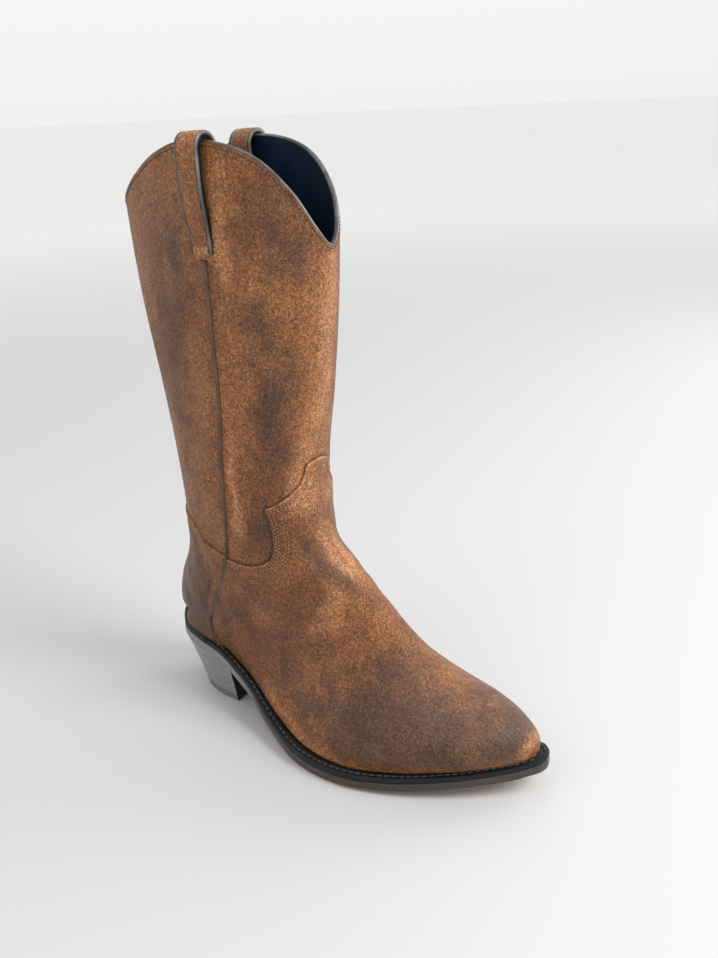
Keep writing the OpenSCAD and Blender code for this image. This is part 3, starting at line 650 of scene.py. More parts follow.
SOLE_BOTTOM = smooth_leather("sole_bottom", (0.3, 0.17, 0.09), (0.38, 0.24, 0.14), 0.5)
LIFT_RUBBER = smooth_leather("top_lift_rubber", (0.12, 0.118, 0.112), (0.15, 0.148, 0.14), 0.4)
BOARD = smooth_leather("board_leather", (0.45, 0.29, 0.17), (0.55, 0.38, 0.24), 0.7)
CORK = smooth_leather("cork", (0.35, 0.2, 0.1), (0.6, 0.42, 0.25), 0.85, 140, 0.0008)
UPPER_THREAD = thread("upper_thread", (0.34, 0.17, 0.095))
DARK_THREAD = thread("dark_thread", (0.02, 0.017, 0.016))
WELT_THREAD = thread("thread", (0.075, 0.072, 0.068))
STEEL = metal("spring_steel", (0.6, 0.6, 0.62), 0.32)
BRASS = metal("nail_brass", (0.6, 0.45, 0.22), 0.35)

# ---------- upper ----------

SPACING = 1.4
THICK, LEAST_THICK = 1.8, 0.4
LIFT_EDGE, ROUND_EDGE, SEAM_DIP = 1.4, 0.9, 0.5

# Dark burnished spots: row, girth place, reach in both, strength, side (0 for both)
SMUDGES = [
    [1.5, 0.575, 0.45, 0.04, 0.9, -1], [2.3, 0.64, 0.7, 0.05, 0.55, -1], [4.4, 0.6, 0.9, 0.06, 0.5, -1],
    [0.95, 0.27, 0.3, 0.05, 0.6, -1], [1.55, 0.2, 0.3, 0.08, 0.5, -1], [2.1, 0.3, 0.5, 0.06, 0.5, -1],
    [2.75, 0.21, 0.45, 0.08, 0.9, -1], [3.3, 0.29, 0.5, 0.07, 0.7, -1], [3.9, 0.22, 0.5, 0.07, 0.45, -1],
    [5.85, 0.325, 0.75, 0.05, 0.75, -1], [6.9, 0.12, 1.1, 0.07, 0.6, 0], [8.8, 0.25, 1.2, 0.1, 0.35, -1],
    [9.6, 0.52, 1.5, 0.07, 0.4, -1], [8.4, 0.08, 1.0, 0.03, 0.5, -1], [15.2, 0.26, 1.5, 0.24, 0.9, -1],
    [12.6, 0.48, 1.5, 0.12, 0.45, -1], [17.8, 0.12, 1.8, 0.45, 0.7, 0], [16.2, 0.4, 1.8, 0.3, 0.4, 0],
    [18.9, 0.1, 0.9, 0.4, 0.7, 0], [20.9, 0.2, 0.5, 0.9, 0.3, 0], [8.6, 0.85, 1.4, 0.3, 0.15, 0],
    [0.9, 0.82, 0.4, 0.14, 0.35, 0], [1.3, 0.28, 0.4, 0.08, 0.7, 1], [2.4, 0.55, 0.7, 0.09, 0.6, 1],
    [3.2, 0.2, 0.6, 0.08, 0.6, 1], [4.0, 0.7, 0.8, 0.1, 0.5, 1], [6.0, 0.33, 0.8, 0.06, 0.7, 1],
    [9.5, 0.3, 1.2, 0.1, 0.5, 1], [14.2, 0.4, 1.3, 0.2, 0.7, 1], [3.0, 0.86, 0.9, 0.12, 0.45, 0],
]
# Light spots, in the same way: worn and dusty places, and painted highlights along the front line and at the toe tip
WEAR_AND_HIGHLIGHT_SPOTS = [
    [1.3, 0.41, 0.8, 0.035, 0.75, -1], [4.3, 0.42, 1.1, 0.03, 0.8, -1], [4.0, 0.12, 1.0, 0.08, 0.5, -1],
    [5.6, 0.4, 0.5, 0.05, 0.5, -1], [7.6, 0.03, 1.5, 0.06, 0.75, 0], [5.0, 0.12, 0.6, 0.1, 0.6, 0],
    [8.8, 0.17, 1.1, 0.035, 0.6, -1], [10.2, 0.22, 1.2, 0.05, 0.6, -1], [11.6, 0.28, 1.0, 0.09, 0.5, -1],
    [9.4, 0.42, 1.6, 0.05, 0.4, -1], [2.6, 0.0, 2.4, 0.09, 0.6, 0], [15.5, 0.05, 1.3, 0.2, 0.15, 0],
    [19.9, 0.25, 0.45, 0.35, 0.8, 0], [17.2, 0.78, 2.6, 0.13, 0.55, 0], [14.2, 0.7, 1.4, 0.1, 0.4, -1],
    [0.8, 0.6, 0.3, 0.07, 0.4, 0], [1.4, 0.72, 0.6, 0.08, 0.35, -1], [3.2, 0.53, 0.9, 0.04, 0.35, -1],
    [3.4, 0.72, 0.8, 0.06, 0.3, -1], [2.0, 0.4, 0.9, 0.06, 0.45, 1], [10.0, 0.5, 1.2, 0.1, 0.4, 1],
]


def spot_strength(t, a, spots, p):
    """Strength of the spots at each point; soft ripples make their outlines irregular."""
    total = np.zeros(len(t))
    t = t + 0.22 * ripple(p, 50, 11) + 0.1 * ripple(p, 18, 12)
    u = np.abs(a) + 0.025 * ripple(p, 45, 13) + 0.012 * ripple(p, 16, 14)
    for spot in spots:
        on_side = 1.0 if spot[5] == 0 else ease((np.sign(spot[5]) * a + 0.03) / 0.06)
        total = total + spot[4] * dome(t, u, spot) * on_side
    return total


def row_samples(first, last):
    """Rows whose girth lines are at most SPACING apart on the skin."""
    fine = np.linspace(first, last, 2000)
    lines = skin(fine[:, None], np.array([-1, -0.75, -0.5, 0, 0.5, 0.75, 1])[None])
    step = np.linalg.norm(np.diff(lines, axis=0), axis=-1).max(1)
    run = np.concatenate([[0], np.cumsum(step)])
    return np.interp(np.linspace(0, run[-1], int(run[-1] / SPACING) + 1), run, fine)


def sheet(rows, places):
    """Columns row and girth place of a grid, and its triangles."""
    t, a = np.meshgrid(rows, places, indexing="ij")
    return np.column_stack([t.ravel(), a.ravel()]), grid_triangles(len(rows), len(places))


HALF_GIRTH = 190
front_places = np.linspace(-1, 1, int(2 * HALF_GIRTH / SPACING) | 1)
rear_places = np.linspace(0.4, 1, int(0.6 * HALF_GIRTH / SPACING))
FIRST_ROW, TOE_END = 0.25, LAST_ROW - 0.04
SEAM_GAP, UNDERLAP = 0.35, 7
MM_PER_ROW, MM_PER_PLACE = 60, 200


def seam_margin(t, a):
    """Distance in mm, about, from the side seam: above 0 in front of it."""
    far = np.where(t < SEAM_END, seam_at(t, a), 1.5)
    return (far - np.abs(a)) * MM_PER_PLACE


def rounded(d, radius=ROUND_EDGE):
    """Height of a rounded edge, from 0 at the edge to 1 at radius from it."""
    k = 1 - np.clip(d / radius, 0, 1)
    return np.sqrt(np.maximum(0, 1 - k * k))


def panel(name, cols, tri, node, height, lapped=None, edge=None, ridge=None):
    """A leather panel. cols hold row, girth place and distance to its nearest edge. lapped is the column
    with the distance to the edge of a piece that lies over this one, edge that to the stitched edge,
    and ridge that with the step over the stiffener."""
    t, a = cols[:, 0], cols[:, 1]
    base, out = skin(t, a), outward(t, a)
    tri = facing_out(base, tri, out)
    worn = relief(t, a, base)
    lift = worn + height(cols)
    bottom = base + out * np.minimum(lift - LEAST_THICK, worn - THICK)[:, None]
    points, faces = shell(base + out * lift[:, None], bottom, tri)
    dark, light = spot_strength(t, a, SMUDGES, base), spot_strength(t, a, WEAR_AND_HIGHLIGHT_SPOTS, base)
    seam = np.where(t < SEAM_END, np.abs(seam_margin(t, a)), 99)
    # Painted shade: darker along both sides of the side seam's piping.
    dark = dark + 0.9 * np.exp(-((np.maximum(seam - 1, 0) / 0.9) ** 2))
    if lapped:
        # Painted shadow on the shaft just beside the edge of the piece that laps over it.
        dark = dark + 1.1 * np.exp(-((cols[:, lapped] / 1.7) ** 2))
    if edge:
        # The raised edge is lighter: partly worn, partly a painted highlight on its face.
        light = light + 0.5 * np.exp(-((cols[:, edge] / 1.0) ** 2))
        # Painted shade: darker in the grooves that the rows of stitches pull in.
        dark = dark + 0.5 * groove(cols[:, edge]) / GROOVE
    if ridge:
        # Painted shade: darker over the stiffener, below the ridge that it makes.
        dark = dark + 0.75 * cols[:, ridge] / RIDGE
    # Painted shade: darker in a narrow strip along the sole edge, where the upper meets the welt.
    dark = dark + 0.7 * np.exp(-((1 - np.abs(a)) * 20) ** 2) * (t > SEAM_END)
    marks = {"dark": np.tile(dark, 2), "light": np.tile(light, 2)}
    piece(name, points, faces, [SUEDE], node, "suede_leather", marks=marks)


RIDGE, GROOVE, FAR = 0.7, 0.4, 42
STITCH_INSETS = (1.9, 3.9, 8.2, 10.2)


def groove(d):
    """Depth that the rows of stitches pull the leather in, at distance d from its edge."""
    return GROOVE * sum(np.exp(-(((d - row) / 0.45) ** 2)) for row in STITCH_INSETS)


def add_levels(cols, tri, column, radius=ROUND_EDGE):
    """Cuts the sheet along lines near an edge, so that its rounded edge has points to follow."""
    for level in (0.06, 0.25, 0.55, 1):
        cols, tri, _ = split(cols, tri, cols[:, column] - level * radius)
    return cols, tri


def near(cols, line):
    """Distance in mm to a line, at most FAR."""
    return np.minimum(distances(skin(cols[:, 0], cols[:, 1]), line), FAR)


def rim_margin(cols):
    """Distance in mm, about, below the mouth's edge."""
    return (cols[:, 0] - mouth_at(np.abs(cols[:, 1]))) * MM_PER_ROW


def shaft_columns(cols, tri):
    """Row, girth place, distance to the nearest edge, to the seam, and to the piece that laps over."""
    for level in (-2.2, -1.1, -0.4):
        cols, tri, _ = split(cols, tri, cols[:, 3] - level)
    margin = np.minimum(cols[:, 2], cols[:, 4])
    return np.column_stack([cols[:, :2], margin, cols[:, 2], -cols[:, 3]]), tri


def shaft_height(cols):
    pressed = 0.35 * np.exp(-((np.maximum(cols[:, 4], 0) / 1.2) ** 2))
    return -SEAM_DIP * (1 - rounded(cols[:, 3])) - pressed


def vamp_height(cols):
    return LIFT_EDGE * rounded(cols[:, 3]) - SEAM_DIP * (1 - rounded(cols[:, 4])) - groove(cols[:, 3])


def counter_height(cols):
    return LIFT_EDGE * rounded(cols[:, 3]) * 0.9 - SEAM_DIP * (1 - rounded(cols[:, 4])) + cols[:, 5]


def shaft_part(cols, tri):
    """What of a sheet is shaft: down to UNDERLAP under the piece below it, and up to the mouth."""
    cols, tri = kept_side(cols, tri, UNDERLAP - cols[:, 3])
    cols, tri = kept_side(cols, tri, cols[:, 4])
    return shaft_columns(*add_levels(cols, tri, 2))


def front_panels():
    cols, tri = sheet(row_samples(FIRST_ROW, TOE_END), front_places)
    margin = seam_margin(cols[:, 0], cols[:, 1]) - SEAM_GAP
    cols, tri = kept_side(np.column_stack([cols, margin]), tri, margin)
    beyond = LAST_ROW + 3
    polygon = np.vstack([vamp_edge[::6], vamp_edge[-1:], [[beyond, 1.2], [beyond, -1.2]]])
    d = near(cols, vamp_edge)
    cols = np.column_stack([cols, np.where(inside(cols[:, 0], cols[:, 1], polygon), d, -d)])

    vamp_cols, vamp_tri = kept_side(cols, tri, cols[:, 3])
    vamp_cols, vamp_tri = add_levels(vamp_cols, vamp_tri, 3)
    for row in STITCH_INSETS:
        for level in (row - 0.7, row, row + 0.7):
            vamp_cols, vamp_tri, _ = split(vamp_cols, vamp_tri, vamp_cols[:, 3] - level)
    vamp_cols, vamp_tri = add_levels(vamp_cols, vamp_tri, 2)
    seam, edge = vamp_cols[:, 2], vamp_cols[:, 3]
    vamp_cols = np.column_stack([vamp_cols[:, :2], np.minimum(seam, edge), edge, seam])
    panel("vamp_leather", vamp_cols, vamp_tri, "vamp", vamp_height, edge=3)
    shaft = shaft_part(np.column_stack([cols, rim_margin(cols)]), tri)
    panel("front_shaft_leather", *shaft, "front_shaft", shaft_height, lapped=4)


def back_inside(cols, line, reach, low):
    """Which points lie below a line that runs from the side seam to the back line."""
    polygon = np.vstack([line[::3], line[-1:], [[reach, 1.02], [reach, low]]])
    return inside(cols[:, 0], np.abs(cols[:, 1]) - 1e-6, polygon)


def rear_panels():
    halves = []
    for side in (-1, 1):
        cols, tri = sheet(row_samples(FIRST_ROW, SEAM_END), rear_places * side)
        margin = -seam_margin(cols[:, 0], cols[:, 1]) - SEAM_GAP
        halves.append(kept_side(np.column_stack([cols, margin]), tri, margin))
    (c0, t0), (c1, t1) = halves
    cols, tri = np.vstack([c0, c1]), np.vstack([t0, t1[:, ::-1] + len(c0)])
    d = near(cols, both_sides_back(counter_half))
    signed = np.where(back_inside(cols, counter_half, SEAM_END + 3, 0.4), d, -d)
    cols = np.column_stack([cols, signed, rim_margin(cols)])

    cover, cover_tri = kept_side(cols, tri, cols[:, 3])
    cover, cover_tri = add_levels(cover, cover_tri, 3)
    cover, cover_tri = add_levels(cover, cover_tri, 2)
    ridge = near(cover, both_sides_back(stiffener_half))
    below = back_inside(cover, stiffener_half, SEAM_END + 4, 0.58)
    step = RIDGE * ease((np.where(below, ridge, -ridge) + 1.5) / 3)
    seam, edge = cover[:, 2], cover[:, 3]
    cover = np.column_stack([cover[:, :2], np.minimum(seam, edge), edge, seam, step])
    weld_back("counter_cover_leather", cover, cover_tri, "counter_cover", counter_height, edge=3, ridge=5)
    shaft = shaft_part(cols, tri)
    weld_back("rear_shaft_leather", *shaft, "rear_shaft", shaft_height, lapped=4)


def both_sides_back(half):
    return np.vstack([with_side(half, -1), with_side(half[::-1], 1)])


def welded(points, tri):
    """Joins points that lie in one place, and gives which old point each new one was."""
    _, keep, which = np.unique(np.round(points, 3), axis=0, return_index=True, return_inverse=True)
    tri = which.ravel()[tri]
    real = (tri[:, 0] != tri[:, 1]) & (tri[:, 1] != tri[:, 2]) & (tri[:, 0] != tri[:, 2])
    return keep, tri[real]


def weld_back(name, cols, tri, node, height, **columns):
    """A rear panel: its two halves are joined along the back line."""
    keep, tri = welded(skin(cols[:, 0], cols[:, 1]), tri)
    panel(name, cols[keep], tri, node, height, **columns)


front_panels()
rear_panels()

# ---------- lining ----------

LINING_DEPTH, LINING_THICK = 2.1, 1.0
FRONT_LINING_END, REAR_LINING_END = 0.456, 0.46
BACK_PLACE = 0.9999


def lining(name, node, places, last_at):
    """A lining sheet from the mouth down to the row that last_at gives for each girth place."""
    places = np.asarray(places)
    mouth = mouth_at(np.abs(places))
    t = mouth + (last_at(np.abs(places)) - mouth) * np.linspace(0, 1, 90)[:, None]
    a = np.broadcast_to(places, t.shape)
    base, out = skin(t, a).reshape(-1, 3), outward(t, a).reshape(-1, 3)
    tri = facing_out(base, grid_triangles(*t.shape), out)
    points, faces = shell(base - out * LINING_DEPTH, base - out * (LINING_DEPTH + LINING_THICK), tri)
    piece(name, points, faces, [LINING], node, "dark_lining")


front_a = np.linspace(-FRONT_LINING_END, FRONT_LINING_END + INNER_SHIFT, 121)
rear_a = np.concatenate([
    np.linspace(-REAR_LINING_END, -BACK_PLACE, 70),
    np.linspace(BACK_PLACE, REAR_LINING_END + INNER_SHIFT, 70),
])
lining("front_lining_leather", "front_lining", front_a, lambda u: 4.3 + 1.9 * ease(u / 0.4))
lining("rear_lining_leather", "rear_lining", rear_a, lambda u: 6.3 - 1.2 * ease((u - 0.46) / 0.5))

# ---------- seams, piping and binding ----------

EDGE_OFF = LIFT_EDGE - 0.2


def between_seams(line, front=True):
    """Drops the stretch of a line that lies beyond the side seam."""
    margin = seam_margin(line[:, 0], line[:, 1])
    return line[(margin if front else -margin) > 2.2]


vamp_lines = [between_seams(inset(vamp_edge, by, -1)) for by in STITCH_INSETS]
counter_line = both_sides_back(counter_half)
counter_lines = [between_seams(inset(counter_line, by, 1), False) for by in STITCH_INSETS[:2]]
stitch_rows("vamp_stitches", vamp_lines, UPPER_THREAD, 2.5, EDGE_OFF, wide=0.8, high=0.45)
stitch_rows("counter_stitches", counter_lines, UPPER_THREAD, 2.5, EDGE_OFF, wide=0.8, high=0.45)


def mouth_line(first, last, below=0.0):
    a = np.linspace(first, last, 240)
    return np.column_stack([mouth_at(np.abs(a)) + below / MM_PER_ROW, a])


for key, start, end in (
    ("front", -0.45, 0.45 + INNER_SHIFT), ("rear_outer", -0.47, -0.999),
    ("rear_inner", 0.999, 0.47 + INNER_SHIFT),
):
    stitch_rows(key + "_mouth_stitches", [mouth_line(start, end, 2.0)], DARK_THREAD, 2.5, 0.1, wide=0.7)

PIPING_START, PIPING_END = 1.47, 11.85
for key, side in SIDES.items():
    rows = np.linspace(PIPING_START, PIPING_END, 260)
    places = side * seam_at(rows, side)
    out = outward(rows, places)
    base = skin(rows, places)
    lift = relief(rows, places, base) + 0.1
    points, faces = tube(base + out * lift[:, None], out, oval(1.15, 1.15, 12))
    piece("side_piping_" + key + "_cord", points, faces, [PIPING], "side_piping_" + key, "edge_leather")

WALL = LINING_DEPTH + LINING_THICK
BINDING_DEEP = WALL / 2
FRONT_BINDING_END, REAR_BINDING_END = 0.4575, 0.5415


def binding(name, node, places):
    """The rolled edge that covers the mouth's rim."""
    t = mouth_at(np.abs(places))
    out, edge = outward(t, places), skin(t, places)
    base = edge - out * BINDING_DEEP
    up = unit(np.cross(out, unit(np.gradient(base, axis=0))))
    up = up * np.where(up[:, 2:] < 0, -1, 1)
    lift = relief(t, places, edge)
    points, faces = tube(base + up * 0.3 + out * lift[:, None], out, oval(1.55, 1.05, 14))
    piece(name, points, faces, [TRIM], node, "edge_leather")


front_a = np.linspace(-FRONT_BINDING_END, FRONT_BINDING_END + INNER_SHIFT, 260)
from_back = np.linspace(-REAR_BINDING_END, REAR_BINDING_END - INNER_SHIFT, 260)
binding("front_binding_roll", "front_binding", front_a)
binding("rear_binding_roll", "rear_binding", np.where(from_back < 0, -1, 1) * (1 - np.abs(from_back)))

# ---------- pull straps ----------

STRAP_LOW, STRAP_LEG_TOP, STRAP_INSIDE_LOW, STRAP_LIFT = 1.46, 0.5, 1.3, 1.4
STRAP_WIDTH, STRAP_THICK, STRAP_STAND, STRAP_RISE = 15, 2.2, 5.6, 3.4
STEPS, FOOT_NARROWING = 48, 0.14
MOUTH_HALF_GIRTH = 260


def strap_place(side):
    return 0.465 + float(shift_at(0, side))


def strap_line(side):
    """Middle line of a strap: up the outside from its foot, over the rim and down the inside."""
    a, half = side * strap_place(side), STRAP_THICK / 2 + 0.3
    k = np.linspace(0, 1, STEPS)
    t = STRAP_LOW + (STRAP_LEG_TOP - STRAP_LOW) * k
    outer = skin(t, a) + outward(t, a) * (half + STRAP_STAND * ease(k * STRAP_LIFT))[:, None]
    t = STRAP_LEG_TOP + (STRAP_INSIDE_LOW - STRAP_LEG_TOP) * k
    inner = skin(t, a) - outward(t, a) * (WALL + half + STRAP_STAND * ease((1 - k) * STRAP_LIFT))[:, None]
    p, q = outer[-1], inner[0]
    m, r, w = (p + q) / 2, np.linalg.norm(p - q) / 2, unit(p - q)
    top = skin(mouth_at(abs(a)), a)
    angle = np.linspace(0, math.pi, 26)[1:-1, None]
    rise = np.array([0, 0, top[2] + STRAP_RISE + STRAP_THICK / 2 - m[2]])
    return np.vstack([outer, m + w * r * np.cos(angle) + rise * np.sin(angle), inner])


def across(side):
    """Direction across a strap, towards the front."""
    place, step = strap_place(side), 0.03
    return unit(skin(0.8, side * (place - step)) - skin(0.8, side * (place + step)))


def strap_loft(line, x, outs, narrow, section):
    """Solid along a strap whose section, as (across, out) pairs, narrows towards the foot."""
    return loft([[p + x * c[0] * s + n * c[1] for c in section] for p, n, s in zip(line, outs, narrow)])


def strap(key, side):
    line, x = strap_line(side), across(side)
    o = unit(np.cross(unit(np.gradient(line, axis=0)), x))
    if (o[0] * outward(1.2, side * strap_place(side))).sum() < 0:
        o = -o
    w, h = STRAP_WIDTH / 2, STRAP_THICK / 2
    section = [
        (-w, -h * 0.5), (-w, h * 0.5), (-w + 0.6, h), (-w / 2, h + 0.25), (0, h + 0.35), (w / 2, h + 0.25),
        (w - 0.6, h), (w, h * 0.5), (w, -h * 0.5), (w - 0.6, -h), (0, -h), (-w + 0.6, -h),
    ]
    narrow = 1 - FOOT_NARROWING * ease(1 - np.arange(len(line)) / (STEPS * 0.6))
    run = np.linspace(0, 1, len(line))
    # Lighter over the top of the loop and darker near the foot; the leg down inside the boot is painted darker as
    # shade.
    light = 0.35 * np.exp(-((run - 0.5) / 0.08) ** 2) + 0.2
    dark = 0.35 * (run > 0.5) + 0.25 * np.exp(-((run - 0.1) / 0.12) ** 2)
    marks = {k: np.append(np.repeat(v, len(section)), [0, 0]) for k, v in (("dark", dark), ("light", light))}
    band, node = strap_loft(line, x, o, narrow, section), "pull_strap_" + key
    piece(node + "_leather", *band, [SUEDE], node, "suede_leather", marks=marks)
    # A near-black sheet under the strap, wider towards the front: the strap's dark underside, and painted shade in
    # the gap between strap and shaft.
    backing_and_shade = [(-w - 0.6, -h), (w + 1.3, -h), (w + 1.6, -h - 0.8), (w + 1.3, -h - 1.7), (-w - 0.3, -h - 1.7)]
    under = strap_loft(line[: STEPS + 8], x, o, narrow, backing_and_shade)
    piece(node + "_backing", *under, [STRAP_BACKING_AND_SHADE], node, "dark_lining")
    edges = [line + x * e * (w * narrow[:, None] + 0.65) for e in (-1, 1)]
    (p0, f0), (p1, f1) = (tube(edge, np.broadcast_to(x, line.shape), oval(0.8, 1.3, 10)) for edge in edges)
    points, faces, node = np.vstack([p0, p1]), np.vstack([f0, f1 + len(p0)]), "strap_edging_" + key
    piece(node + "_roll", points, faces, [TRIM], node, "edge_leather")
    run = run_along(line)
    s = np.arange(2, run[-1] - 2, 2.4)
    middle, normal = at_run(s, run, line), at_run(s, run, o)
    half_width = w * np.interp(s, run, narrow)[:, None] - 1.4
    spots = [middle + x * e * half_width + normal * (h + 0.12) for e in (-1, 1)]
    ways, outs = [np.gradient(middle, axis=0)] * 2, [normal] * 2
    stitches("strap_stitches_" + key, spots, ways, outs, UPPER_THREAD, 1.6, 0.5, 0.3)


def strap_tab(key, side):
    """The tab that closes the strap's foot: a short band over it, which the piping comes out of."""
    k = np.linspace(0, 1, 22)[:, None]
    b = np.linspace(-1, 1, 31)[None]
    t = 1.385 + 0.125 * k + 0.02 * k * b * b - 0.012 * b * b * (1 - k)
    half = (STRAP_WIDTH / 2 * (1 - FOOT_NARROWING) + 0.3) / MOUTH_HALF_GIRTH
    a = side * (strap_place(side) + half * b * (1 - 0.25 * ease((k - 0.5) * 2)))
    base, out = skin(t, a).reshape(-1, 3), outward(t, a).reshape(-1, 3)
    above = (STRAP_THICK + 1.25) * (1 - 0.45 * ease((k - 0.45) / 0.55))
    crown = (above * (1 - b**8) ** 0.5 * (1 - (2 * k - 1) ** 10) ** 0.5 + 0.2).reshape(-1)
    tri = facing_out(base, grid_triangles(*t.shape), out)
    points, faces = shell(base + out * crown[:, None], base - out * 0.3, tri)
    marks, node = {"dark": np.zeros(len(points)), "light": np.full(len(points), 0.55)}, "strap_tab_" + key
    piece(node + "_leather", points, faces, [SUEDE], node, "suede_leather", marks=marks)


for key, side in SIDES.items():
    strap(key, side)
    strap_tab(key, side)

# ---------- sole ----------

WELT_THICK, WELT_TOP, GAP, OUTSOLE_THICK = 3.2, 0.3, 0.3, 6.2
OUTSOLE_TOP = WELT_TOP + WELT_THICK + GAP
RAND, WAIST, FORE, WELT_INSIDE = 4, 6.4, 8.4, 6
WELT_START = 11.3
TOE_SPRING = 0.25


def sole_width(t):
    return np.interp(t, [9, 11, 12.5, 13.5, 15, 21], [RAND, RAND, WAIST, WAIST, FORE, FORE])


seat_rows = np.linspace(SOLE_ROW, LAST_ROW, 400)
seat_points = skin(seat_rows, -1.0)
seat_x = np.append(seat_points[:, 0], seat_points[-1, 0] + 20)
seat_height = np.append(seat_points[:, 2], seat_points[-1, 2] + 20 * TOE_SPRING)


def seat_z(x):
    return np.interp(x, seat_x, seat_height)


def beside(t, side, wide, down):
    """Points beside the sole edge: wide is outward, down is below the edge."""
    t = np.asarray(t, float)
    side = np.full(t.shape, float(side))
    p = skin(t, side) + edge_out(t, side) * np.broadcast_to(wide, t.shape)[..., None]
    return np.stack([p[..., 0], p[..., 1], seat_z(p[..., 0]) - down], -1)


def close_rows(first, last, n):
    return first + (last - first) * (1 - np.cos(np.linspace(0, math.pi, n))) / 2


def strip(name, stations, section, node):
    """A strip of leather along the sole edge. section gives, for each row, points as distance outwards,
    distance down and whether the first is counted from the sole's width or from the sole edge."""
    rings = []
    for t, side in stations:
        width = float(sole_width(t))
        rings.append([beside(t, side, wide + width * outside, down) for wide, down, outside in section(t)])
    piece(name, *loft(rings), [WELT_FACE], node, "edge_leather", smooth_angle=40)


def welt_inside(t):
    return min(WELT_INSIDE, 2 + 12 * max(0.0, LAST_ROW - t))


def welt_section(t):
    """A flat strip with a rounded edge, slightly domed, with a groove that the stitches lie in."""
    top, low = WELT_TOP, WELT_TOP + WELT_THICK
    deep, crown = -welt_inside(t), 0.35
    return [
        (-0.9, top + 0.05, True), (-0.35, top + 0.3, True), (0, top + 0.95, True), (0.05, low - 1, True),
        (-0.1, low - 0.3, True), (-0.6, low, True), (deep, low, False), (deep, top, False), (0.2, top, False),
        (1.2, top - crown * 0.4, False), (-4.2, top - crown * 0.4, True), (-3.6, top + 0.3, True),
        (-3.0, top - crown * 0.3, True), (-2, top - crown, True),
    ]


def rand_section(t):
    """Taller than the welt: it laps over the outsole's edge round the heel, runs out at the waist, and
    climbs up the counter at the back."""
    rise = 4.6 * ease((10.7 - t) / 1.5)
    lap = 4 * ease((WELT_START - t) / 0.9) - 0.75 * rise
    proud = -0.3 * ease((WELT_START - t) / 0.5)
    top, under = WELT_TOP - rise, WELT_TOP + WELT_THICK
    low = under + lap
    deep = -welt_inside(t)
    return [
        (-1.1 + proud, top - 0.1, True), (-0.4 + proud, top + 0.2, True), (proud, top + 0.9, True),
        (proud + 0.1, low - 1, True), (proud, low - 0.3, True), (proud - 0.4, low, True), (-0.25, low, True),
        (-0.5, under, True), (deep, under, False), (deep, WELT_TOP, False), (0.3, WELT_TOP, False),
        (-1.8 + proud, top - 0.3, True),
    ]


sole_rows = close_rows(SOLE_ROW + 0.02, LAST_ROW - 0.01, 420)
before = sole_rows[sole_rows < WELT_START]
after = np.append(before[-1] + 0.02, sole_rows[sole_rows >= WELT_START])
round_toe = [(t, 1) for t in after] + [(t, -1) for t in after[::-1]]
round_heel = [(t, -1) for t in before[::-1]] + [(t, 1) for t in before]
strip("welt_strip", round_toe, welt_section, "welt")
strip("heel_rand_strip", round_heel, rand_section, "heel_rand")


def outsole():
    """The sole from heel to toe: its side, the raw edge under it and the bottom are three materials."""
    low = OUTSOLE_TOP + OUTSOLE_THICK
    side = [
        (-0.5, OUTSOLE_TOP), (-0.12, OUTSOLE_TOP + 0.3), (0.1, OUTSOLE_TOP + 1.6), (0.16, OUTSOLE_TOP + 3),
        (0.08, low - 1.3), (0, low - 0.75), (-0.25, low - 0.3), (-0.8, low),
    ]
    rings = []
    for t in sole_rows:
        width = float(sole_width(t))
        outer = [beside(t, -1, width + wide, down) for wide, down in side]
        inner = [beside(t, 1, width + wide, down) for wide, down in side[::-1]]
        rings.append(outer + inner)
    points, faces = loft(rings)
    count = len(side)
    down_side = np.arange(len(points)) % (2 * count)
    down_side = np.where(down_side >= count, 2 * count - 1 - down_side, down_side)[faces]
    kind = np.where((down_side == count - 1).all(1), 2, np.where(down_side.min(1) >= count - 3, 1, 0))
    kind = np.where(faces.max(1) >= len(sole_rows) * 2 * count, 0, kind)
    materials = [SOLE_SIDE, RAW_EDGE, SOLE_BOTTOM]
    look = {"face_material": kind, "smooth_angle": 40}
    piece("outsole_leather", points, faces, materials, "outsole", "sole_leather", **look)


outsole()


def welt_stitching():
    points, ways, outs = [], [], []
    pitch = 4.8
    for side in (-1, 1):
        rows = np.linspace(11.6, 20.9, 600)
        line = np.array([beside(t, side, float(sole_width(t)) - 3.0, WELT_TOP - 0.15) for t in rows])
        run = run_along(line)
        s = np.arange(pitch / 2, run[-1] - pitch / 2, pitch)
        points.append(at_run(s, run, line))
        ways.append(at_run(s + 0.5, run, line) - points[-1])
        outs.append(np.tile([0, 0, 1.0], (len(s), 1)))
    threads = stitches("welt_stitches", points, ways, outs, WELT_THREAD, pitch * 0.7, 1.1, 0.55)
    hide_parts("welt_stitching")


welt_stitching()

# ---------- heel ----------

HEEL_TOP_ROW, HEEL_DROP = 12.05, 41
TOP_LIFT_THICK, STACK_TOP, LIFT_COUNT = 6, 34, 5
LIFT_STEP = (STACK_TOP - TOP_LIFT_THICK) / (LIFT_COUNT - 0.5)
BREAST_X, UNDERSLUNG, GROUND_NARROWING = 69, 18, 0.8
BREAST_HOLLOW, BREAST_STEPS = 2.5, 18
SHRINK, GLUE_LINE = 1.2, 0.03
outer_rows = HEEL_TOP_ROW - (HEEL_TOP_ROW - SOLE_ROW - 0.02) * np.sin(np.linspace(0, math.pi / 2, 60))
heel_seat = np.vstack([beside(outer_rows, -1, RAND - 0.1, 0), beside(outer_rows[::-1], 1, RAND - 0.1, 0)])
SEAT_BACK_X, SEAT_BREAST_X = heel_seat[:, 0].min(), heel_seat[0, 0]
GROUND_BACK_X = SEAT_BACK_X + UNDERSLUNG
breast_y = np.linspace(heel_seat[-1, 1], heel_seat[0, 1], BREAST_STEPS)[1:-1]
hollow = BREAST_HOLLOW * (1 - (np.linspace(-1, 1, BREAST_STEPS)[1:-1]) ** 2)
